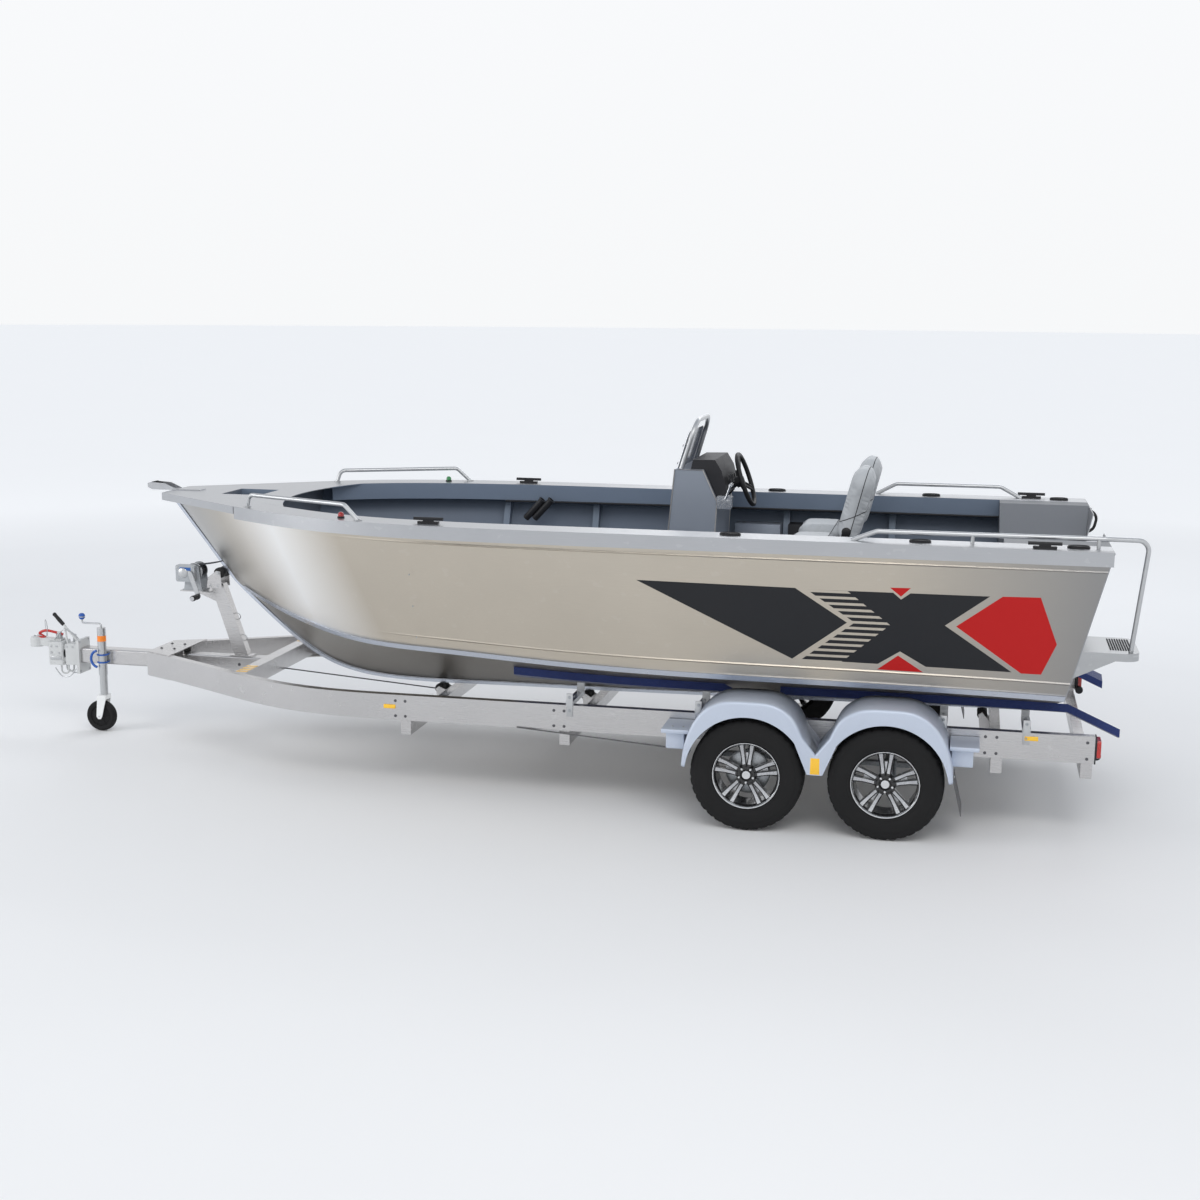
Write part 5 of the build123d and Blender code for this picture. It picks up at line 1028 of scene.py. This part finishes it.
# ---- Coupling and jockey stand ----
# An override brake coupling in pale painted castings is bolted to the drawbar's flange, with red
# levers. The jockey stand has a zinc tube in a blue clamp, a white fork and a black wheel.
casting = moulded("coupling_casting_paint", (0.50, 0.51, 0.51), 0.45, 260.0, 0.0012, 0.15)
dress(casting, "coupling")
dress(zinc, "jockey_tube", "jockey_stem")
fork_paint = moulded("fork_white_paint", (0.72, 0.73, 0.73), 0.35, 400.0, 0.0003, 0.3)
dress(fork_paint, "jockey_fork")
red_paint = moulded("red_lever_paint", (0.42, 0.02, 0.015), 0.32, 400.0, 0.0002, 0.4)
blue_plastic = moulded("blue_knob_plastic", (0.02, 0.09, 0.36), 0.38, 500.0, 0.0003, 0.2)
flange_x = 3.1175
coupling_bolts = Shape()
for y in (-0.058, 0.058):
    for z in (0.385, 0.585):
        coupling_bolts.bolt((flange_x + 0.020, y, z), AHEAD, 0.011)
        coupling_bolts.bolt((flange_x - 0.0005, y, z), -AHEAD, 0.010)
for y in (-0.0605, 0.0605):
    for x in (3.27, 3.325):
        coupling_bolts.bolt((x, y, 0.50), (0, math.copysign(1, y), 0), 0.009)
coupling_bolts.made("coupling_bolts", "boat", "coupling_paint", zinc)
levers = Shape()
handle = eased([(3.41, 0, 0.595), (3.44, 0, 0.615), (3.395, 0, 0.635), (3.33, 0, 0.628), (3.27, 0, 0.615)])
levers.tube(handle, 0.009, 12)
levers.block((3.40, -0.018, 0.575), (3.452, 0.018, 0.598), 0.005)
levers.made("coupling_lever", "boat", "coupling_paint", red_paint)
bellows = Shape()
folds = [(0.050 if i % 2 else 0.043, 0.003 * (i + 1)) for i in range(7)]
bellows.turned([(0, 0), (0.046, 0), *folds, (0.046, 0.025), (0, 0.025)], (3.223, 0, 0.495), AHEAD, 32)
bellows.made("coupling_bellows", "boat", "coupling_paint", dark_shell)
rigging = Shape()
for side in (-1, 1):
    line = [(3.15, 0.060, 0.40), (3.19, 0.070, 0.352), (3.25, 0.066, 0.345), (3.30, 0.062, 0.40)]
    rigging.tube(eased([(x, side * y, z) for x, y, z in line]), 0.0035, 8)
    for x, y in ((3.175, 0.0525), (3.215, 0.0525), (3.285, 0.0615), (3.325, 0.0615)):
        rigging.bolt((x, side * y, 0.545), (0, side, 0), 0.0075)
brake_rod = [(3.13, 0.045, 0.60), (3.17, 0.050, 0.64), (3.23, 0.05, 0.66), (3.28, 0.045, 0.62),
             (3.31, 0.04, 0.585)]
rigging.tube(eased(brake_rod), 0.004, 8)
rigging.turned([(0, 0), (0.020, 0), (0.022, 0.004), (0.022, 0.040), (0.016, 0.046), (0.016, 0.055),
                (0, 0.055)], (3.295, 0.0, 0.577), UP, 24)
rigging.turned([(0, 0), (0.012, 0), (0.012, 0.05), (0.009, 0.054), (0, 0.054)],
               (3.20, -0.030, 0.562), UP, 18)
rigging.block((3.255, 0.0595, 0.455), (3.335, 0.064, 0.478), 0.002)
rigging.made("coupling_fittings", "boat", "coupling_paint", zinc)
wire = Shape()
wire.tube(eased([(3.385, 0, 0.60), (3.375, 0.012, 0.66), (3.385, 0.006, 0.705), (3.40, -0.008, 0.70),
                 (3.40, -0.008, 0.65), (3.39, 0, 0.60)]), 0.0026, 8)
wire.tube(once_round((3.445, 0, 0.592), AHEAD * 0.030, (0, 0.024, 0.016)), 0.0028, 8, True)
wire.made("coupling_wire_ring", "boat", "coupling_paint", zinc)
brake_grip = Shape()
brake_grip.turned([(0.0085, -0.105), (0.0125, -0.10), (0.0135, -0.06), (0.012, -0.03), (0.0135, -0.008),
                   (0.008, -0.002), (0, -0.001)], (3.307, 0.040, 0.765), (0.178, 0, 0.191), 24)
brake_grip.made("hand_brake_grip", "boat", "coupling_paint", grip_plastic)

jockey = pivot("jockey_swivel")
clamp = Shape()
for z in (0.465, 0.515):
    half_round = once_round((jockey.x, jockey.y, z), AHEAD * -0.0325, PORT * 0.0300, 20)[:11]
    line = [(jockey.x - 0.030, 0.052, z), (jockey.x - 0.0325, jockey.y, z), *half_round,
            (jockey.x + 0.030, 0.052, z)]
    clamp.tube(line, 0.0055, 10)
swing = [-1.35 + 2.7 * i / 16 for i in range(17)]
clamp.tube([(jockey.x + 0.012 + 0.052 * math.cos(t), jockey.y + 0.034, 0.490 + 0.056 * math.sin(t))
            for t in swing], 0.0085, 12)
clamp.made("jockey_clamp_bolts", "boat", "jockey_zinc", blue_plastic)
crank_knob = Shape()
crank_knob.turned([(0.0065, -0.022), (0.012, -0.0205), (0.0195, -0.010), (0.0213, 0.002), (0.0185, 0.013),
                   (0.010, 0.0195), (0, 0.021)], (jockey.x + 0.135, jockey.y, 0.765), UP, 32)
crank_knob.made("jockey_crank_knob", "boat", "jockey_zinc", blue_plastic)
orange = moulded("blank_label_orange", (0.85, 0.22, 0.02), 0.35, 300.0, 0.00005, 0.3)
tube_label = Shape()
tube_label.turned([(0.0281, 0.0), (0.0286, 0.0005), (0.0286, 0.0375), (0.0281, 0.038)],
                  (jockey.x, jockey.y, 0.605), UP, 40)
tube_label.made("jockey_label", "boat", "jockey_zinc", orange)
tyre_rubber = moulded("tyre_rubber", (0.007, 0.007, 0.0075), 0.82, 420.0, 0.0009)
jockey_axle = pivot("jockey_wheel_spin")
jockey_wheel = Shape()
half_tyre = [(0.0088, -0.0275), (0.026, -0.0275), (0.030, -0.020), (0.066, -0.014), (0.070, -0.022),
             (0.086, -0.0265), (0.097, -0.022), (0.1015, -0.012), (0.1023, -0.004)]
other_half = [(radius, -reach) for radius, reach in reversed(half_tyre)]
jockey_wheel.turned([*half_tyre, (0.1005, 0.0), *other_half], jockey_axle, PORT, 56)
for side in (-1, 1):
    ribs = zip(once_round(jockey_axle + PORT * side * 0.019, AHEAD * 0.028, UP * 0.028, 6),
               once_round(jockey_axle + PORT * side * 0.015, AHEAD * 0.066, UP * 0.066, 6))
    for inner, outer in ribs:
        jockey_wheel.tube([inner, outer], 0.0035, 8)
jockey_piece = jockey_wheel.made("jockey_wheel_tyre", "jockey_roll", "jockey_rubber", tyre_rubber)
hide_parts("jockey_wheel")
axle_nuts = Shape()
for side in (-1, 1):
    axle_nuts.bolt(jockey_axle + PORT * side * 0.0387, (0, side, 0), 0.008)
axle_nuts.made("jockey_axle_nuts", "jockey_castor", "jockey_zinc", zinc)


# ---- Axles, springs and wheels ----
# Galvanised axles under leaf springs. The wheels are gloss black alloy with machined faces on five
# pairs of spokes; plain black radial tyres with sipes and circumferential grooves.
dress(galvanised, "axles")
FRONT_AXLE, REAR_AXLE = pivot("wheel_front_port_spin").x, pivot("wheel_rear_port_spin").x
AXLE_HEIGHT = pivot("wheel_front_port_spin").z
springs = Shape()
for axle_x in (FRONT_AXLE, REAR_AXLE):
    for y in (-0.890, 0.890):
        for dx in (-0.034, 0.034):
            for dy in (-0.024, 0.024):
                springs.tube([(axle_x + dx, y + dy, 0.272), (axle_x + dx, y + dy, 0.372)], 0.005, 8)
        for leaf in range(3):
            half, z = 0.26 - leaf * 0.05, 0.3335 + leaf * 0.0075
            springs.block((axle_x - half, y - 0.0212, z), (axle_x + half, y + 0.0212, z + 0.0065), 0.001)
springs.made("spring_leaves", "boat", "galvanised", galvanised)

rim_black = Finish("wheel_alloy", roughness=0.25, coat=0.5)
BLACK_HUB = 0.060
flat_on = abs(rim_black.facing(1)) > 0.955
rim_x, rim_y, rim_z = rim_black.axes()
along_rim = abs(rim_x - FRONT_AXLE).least(abs(rim_x - REAR_AXLE))
up_rim = rim_z - AXLE_HEIGHT
past_hub = (along_rim * along_rim + up_rim * up_rim) > BLACK_HUB ** 2
outer_face = flat_on * (abs(rim_y) > 1.15) * past_hub
turning = rim_black.noise(60.0, (1, 8, 1), 5.0)
machined = rim_black.mix(turning, (0.42, 0.43, 0.45), (0.66, 0.67, 0.69))
rim_black.colour(rim_black.mix(outer_face, (0.012, 0.012, 0.013), machined))
rim_black.vary("Metallic", outer_face)
rim_black.vary("Roughness", 0.2 + turning * 0.14)
rim_black.relief(turning, 0.0002)
lip_metal = rolled_metal("rim_lip_metal", (0.84, 0.85, 0.86), 0.2, (3.0, 3.0, 3.0), 0.2)
tyre_profile = [(0.186, -0.082), (0.1885, -0.0885), (0.196, -0.0915), (0.200, -0.0905), (0.203, -0.092),
                (0.230, -0.0945), (0.252, -0.0950), (0.270, -0.0938), (0.272, -0.0926), (0.275, -0.0928),
                (0.290, -0.0895), (0.301, -0.084), (0.3065, -0.074), (0.3085, -0.0585), (0.3005, -0.0570),
                (0.3005, -0.0510), (0.3092, -0.0495), (0.3098, -0.0250), (0.3010, -0.0235),
                (0.3010, -0.0165), (0.3100, -0.0150)]
tyre_profile += [(radius, -reach) for radius, reach in reversed(tyre_profile)]
# Each spoke's radius, swing from its pair's middle, half width, face height and depth.
SPOKE_STATIONS = ((0.040, 0.300, 0.0125, 0.066, 0.034), (0.080, 0.205, 0.0120, 0.060, 0.032),
                  (0.125, 0.185, 0.0125, 0.060, 0.028), (0.170, 0.170, 0.0165, 0.074, 0.024))


def tread(radius, reach, i):
    """The tyre's radius with its shoulder cuts and the shallow sipes between its grooves."""
    cut = i % 4 == 0 and abs(reach) > 0.052 and radius > 0.3
    sipe = i % 2 == 1 and 0.016 < abs(reach) < 0.05 and radius > 0.305
    return radius - (0.0055 if cut else 0.0022 if sipe else 0.0)


for name in ("front_port", "front_starboard", "rear_port", "rear_starboard"):
    centre = pivot("wheel_" + name + "_spin")
    side = math.copysign(1, centre.y)
    tyre = Shape()
    tyre.turned(tyre_profile, centre, PORT, 144, tread)
    tyre_piece = tyre.made("tyre_" + name + "_tread", "wheel_" + name, "tyre", tyre_rubber, 30)
    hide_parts("tyre_" + name)
    out = Vector((0, side, 0))
    barrel = Shape()
    barrel.turned([(0.1836, -0.086), (0.1836, -0.078), (0.176, -0.072), (0.174, 0.050), (0.170, 0.066),
                   (0.172, 0.074), (0.1775, 0.0835), (0.1765, 0.080), (0.1660, 0.062), (0.1670, 0.048),
                   (0.1680, -0.07), (0.1790, -0.086)], centre, out, 72)
    barrel.turned([(0, 0.0), (0.050, 0.0), (0.056, 0.020), (0.058, 0.046), (0.052, 0.060), (0.046, 0.068),
                   (0.034, 0.068), (0.030, 0.058), (0, 0.058)], centre, out, 48)
    for pair in range(5):
        base = math.pi / 2 + 2 * math.pi * pair / 5
        for lean in (-1, 1):
            sections = []
            for radius, swing, width, face, depth in SPOKE_STATIONS:
                turn = base + lean * swing
                middle = centre + (AHEAD * math.cos(turn) + UP * math.sin(turn)) * radius
                sideways = AHEAD * -math.sin(turn) + UP * math.cos(turn)
                outline = ((-width, face - depth), (width, face - depth), (width * 1.15, face - 0.006),
                           (width * 0.62, face), (-width * 0.62, face), (-width * 1.15, face - 0.006))
                sections.append([barrel.corner(middle + sideways * w + out * f) for w, f in outline])
            barrel.through(sections)
        # A dark web joins each pair below its machined faces.
        sections = []
        for radius, half_angle, face in ((0.045, 0.25, 0.046), (0.090, 0.15, 0.040), (0.120, 0.13, 0.038)):
            first, last = base - half_angle, base + half_angle
            outline = ((first, face), (last, face), (last, face - 0.014), (first, face - 0.014))
            around = [(AHEAD * math.cos(t) + UP * math.sin(t)) * radius + out * f for t, f in outline]
            sections.append([barrel.corner(centre + place) for place in around])
        barrel.through(sections)
    rim_piece = barrel.made("rim_" + name + "_spokes", "wheel_" + name, "rim_paint", rim_black, 28)
    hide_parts("rim_" + name)
    lip = Shape()
    lip.turned([(0.1730, 0.0765), (0.1765, 0.0835), (0.1795, 0.0868), (0.1830, 0.0872), (0.1836, 0.0840),
                (0.1800, 0.0805), (0.1730, 0.0765)], centre, out, 72)
    lip.turned([(0, 0.070), (0.022, 0.070), (0.027, 0.064), (0.028, 0.058)], centre, out, 36)
    for i in range(5):
        turn = math.pi / 2 + 2 * math.pi * (i + 0.5) / 5
        nut = centre + (AHEAD * math.cos(turn) + UP * math.sin(turn)) * 0.041
        lip.turned([(0, 0.080), (0.0055, 0.079), (0.0080, 0.076), (0.0080, 0.0670)], nut, out, 6)
    lip.made("rim_" + name + "_lip", "wheel_" + name, "rim_paint", lip_metal)
    if name.startswith("front"):
        brake = Shape()
        brake.turned([(0, -0.030), (0.118, -0.030), (0.122, -0.024), (0.122, -0.012), (0.112, -0.006),
                      (0.06, 0.0), (0, 0.0)], centre, out, 48)
        brake.made("brake_" + name + "_drum", "wheel_" + name, "galvanised", galvanised)


# ---- Mudguards and flaps ----
# Pressed alloy guards over each pair of wheels, in a light blue-grey coat, with rubber flaps.
guard_paint = speckled("guard_paint", (0.46, 0.51, 0.60), metallic=0.35)
# From the arch's foot past its top to where the pair meet, as (ahead of the axle, above it).
ARCH = ((0.352, 0.040), (0.342, 0.130), (0.312, 0.235), (0.272, 0.310), (0.218, 0.368), (0.155, 0.402),
        (0.092, 0.415), (0.0, 0.417), (-0.092, 0.415), (-0.155, 0.402), (-0.218, 0.368), (-0.262, 0.320),
        (-0.300, 0.240))
GUARD_OUT = 1.2385
SKIRT_RADIUS, GUARD_EDGE = 0.334, 0.016
ROUND = ((GUARD_EDGE, 0.0), (GUARD_EDGE * 0.6, 0.0012), (GUARD_EDGE * 0.3, 0.0047),
         (GUARD_EDGE * 0.08, 0.010), (0.0, GUARD_EDGE))
sections = []
for place in eased([(x, 0, z) for x, z in ARCH], 4):
    sections.append((place, place.normalized() * SKIRT_RADIUS))
sections.append((Vector((-0.3725, 0, 0.150)), Vector((-0.3316, 0, 0.040))))
sections.append((Vector((-0.3725, 0, 0.149)), Vector((-0.3725, 0, 0.040))))
guard = Shape()
for side in (-1, 1):
    for axle_x, ahead in ((FRONT_AXLE, 1), (REAR_AXLE, -1)):
        rows = []
        for top, skirt in sections:
            inward = (skirt - top).normalized()
            row = [(BEAM_FACE, top), *((GUARD_OUT - inset, top + inward * drop) for inset, drop in ROUND),
                   (GUARD_OUT, skirt), (GUARD_OUT - 0.008, skirt + UP * 0.001)]
            rows.append([guard.corner((axle_x + ahead * place.x, side * y, AXLE_HEIGHT + place.z))
                         for y, place in row])
        for before, after in zip(rows, rows[1:]):
            for i in range(len(before) - 1):
                guard.mesh.faces.new((before[i], before[i + 1], after[i + 1], after[i]))
bmesh.ops.remove_doubles(guard.mesh, verts=guard.mesh.verts, dist=0.0004)
guard_piece = guard.made("wheel_guards", "boat", "guard_paint", guard_paint, 38)
thick = guard_piece.modifiers.new("sheet", "SOLIDIFY")
thick.thickness, thick.offset = 0.0035, 0.0
bpy.context.view_layer.objects.active = guard_piece
bpy.ops.object.modifier_apply(modifier=thick.name)
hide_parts("mudguards")
steps = Shape()
for side in (-1, 1):
    for aft, front, inset in ((-1.150, -0.995, 0.022), (-2.700, -2.545, 0.010)):
        steps.block((aft, side * 0.925, 0.510), (front, side * 1.168, 0.534), 0.006)
        steps.block((aft + 0.03, side * 0.925, 0.415), (front - inset, side * 1.130, 0.512), 0.007)
steps.made("guard_steps", "boat", "guard_paint", guard_paint)
flap_rubber = moulded("flap_rubber", (0.10, 0.10, 0.105), 0.7, 300.0, 0.0008)
dress(flap_rubber, "mud_flaps", "brake_cables")
guard_details = Shape()
for side in (-1, 1):
    for x in (-1.110, -1.05):
        guard_details.bolt((x, side * 1.1, 0.5342), UP, 0.007)
    for y in (1.0, 1.15):
        guard_details.bolt((-2.5755, side * y, 0.366), -AHEAD, 0.008)
guard_details.made("guard_bolts", "boat", "guard_paint", zinc)


# ---- Tail lamps ----
# Red plastic lenses in black housings at the beams' ends.
lamp_lens = Finish("lamp_lens", roughness=0.12, coat=0.7)
cells = lamp_lens.cells(190.0)
lamp_lens.colour(lamp_lens.mix(cells, (0.30, 0.006, 0.005), (0.62, 0.02, 0.012)))
lamp_lens.relief(cells, 0.0007)
dress(lamp_lens, "tail_lamps")
housings = Shape()
for side in (-1, 1):
    housings.block((-3.312, side * 0.79, 0.446), (-3.3025, side * 0.918, 0.549), 0.003)
housings.made("tail_lamp_housings", "boat", "lamp_red", fitting_plastic)


# ---- Floor, light and camera ----
# A pale studio floor with broad soft lights, and the camera off the port quarter, low and far.
floor_finish = Finish("studio_floor", roughness=0.9)
floor_tone = floor_finish.noise(0.6, detail=2.0)
floor_finish.colour(floor_finish.mix(floor_tone, (0.84, 0.84, 0.84), (0.87, 0.87, 0.87)))
floor_x, floor_y, _ = floor_finish.axes()
far_away = ((floor_x * floor_x + floor_y * floor_y - 30.0) * 0.006).clamped()
floor_finish.vary("Emission Color", floor_finish.mix(far_away, (0.0, 0.0, 0.0), (0.86, 0.87, 0.88)))
floor_finish.shader.inputs["Emission Strength"].default_value = 0.30
floor_data = bpy.data.meshes.new("studio_floor")
FLOOR_RADIUS = 160
floor_rim = once_round((0, 0, 0), AHEAD * FLOOR_RADIUS, PORT * FLOOR_RADIUS, 72)
floor_data.from_pydata(floor_rim, [], [tuple(range(len(floor_rim)))])
floor_data.materials.append(floor_finish.material)
studio_floor = bpy.data.objects.new("studio_floor", floor_data)
bpy.context.scene.collection.objects.link(studio_floor)

world = bpy.data.worlds.new("studio")
bpy.context.scene.world = world
world.use_nodes = True
sky = world.node_tree.nodes["Background"]
ramp = world.node_tree.nodes.new("ShaderNodeValToRGB")
split = world.node_tree.nodes.new("ShaderNodeSeparateXYZ")
where = world.node_tree.nodes.new("ShaderNodeTexCoord")
world.node_tree.links.new(where.outputs["Generated"], split.inputs[0])
world.node_tree.links.new(split.outputs[2], ramp.inputs[0])
world.node_tree.links.new(ramp.outputs[0], sky.inputs[0])
ramp.color_ramp.elements[0].position = 0.0
ramp.color_ramp.elements[0].color = (0.93, 0.94, 0.95, 1)
ramp.color_ramp.elements[1].position = 0.9
ramp.color_ramp.elements[1].color = (0.52, 0.56, 0.62, 1)
middle_stop = ramp.color_ramp.elements.new(0.25)
middle_stop.color = (0.95, 0.96, 0.98, 1)
sky.inputs[1].default_value = 1.0


def soft_light(name, place, target, size, power, colour=(1, 1, 1)):
    data = bpy.data.lights.new(name, "AREA")
    data.shape, data.size, data.size_y = "RECTANGLE", size[0], size[1]
    data.energy, data.color = power, colour
    lamp = bpy.data.objects.new(name, data)
    lamp.location = place
    lamp.rotation_euler = (Vector(target) - Vector(place)).to_track_quat("-Z", "Y").to_euler()
    bpy.context.scene.collection.objects.link(lamp)


soft_light("key_light", (-3.0, 7.5, 8.0), (0, 0, 0.8), (7.0, 4.0), 270, (1.0, 0.98, 0.95))
soft_light("bow_light", (8.5, 4.5, 3.5), (2.2, 0, 1.0), (4.0, 3.0), 160)
soft_light("back_light", (-2.0, -8.0, 7.0), (0, 0, 1.0), (8.0, 3.0), 200, (0.95, 0.97, 1.0))

CAMERA_YAW, CAMERA_PITCH, CAMERA_ROLL = math.radians(12.11), math.radians(10.97), math.radians(0.476)
view = Vector((math.sin(CAMERA_YAW) * math.cos(CAMERA_PITCH), -math.cos(CAMERA_YAW) * math.cos(CAMERA_PITCH),
               -math.sin(CAMERA_PITCH)))
level = Vector((-math.cos(CAMERA_YAW), -math.sin(CAMERA_YAW), 0))
above = level.cross(view)
right = level * math.cos(CAMERA_ROLL) + above * math.sin(CAMERA_ROLL)
above = above * math.cos(CAMERA_ROLL) - level * math.sin(CAMERA_ROLL)
camera_data = bpy.data.cameras.new("camera")
camera_data.lens, camera_data.sensor_width = 49.83, 36.0
camera_data.shift_x, camera_data.shift_y = -0.00987, 0.0175
camera_data.clip_end = 500.0
camera = bpy.data.objects.new("camera", camera_data)
camera_turn = Matrix((right, above, -view)).transposed().to_4x4()
camera.matrix_world = Matrix.Translation((-2.57544, 9.826, 2.8362)) @ camera_turn
bpy.context.scene.collection.objects.link(camera)
bpy.context.scene.camera = camera
bpy.context.scene.view_settings.view_transform = "Standard"
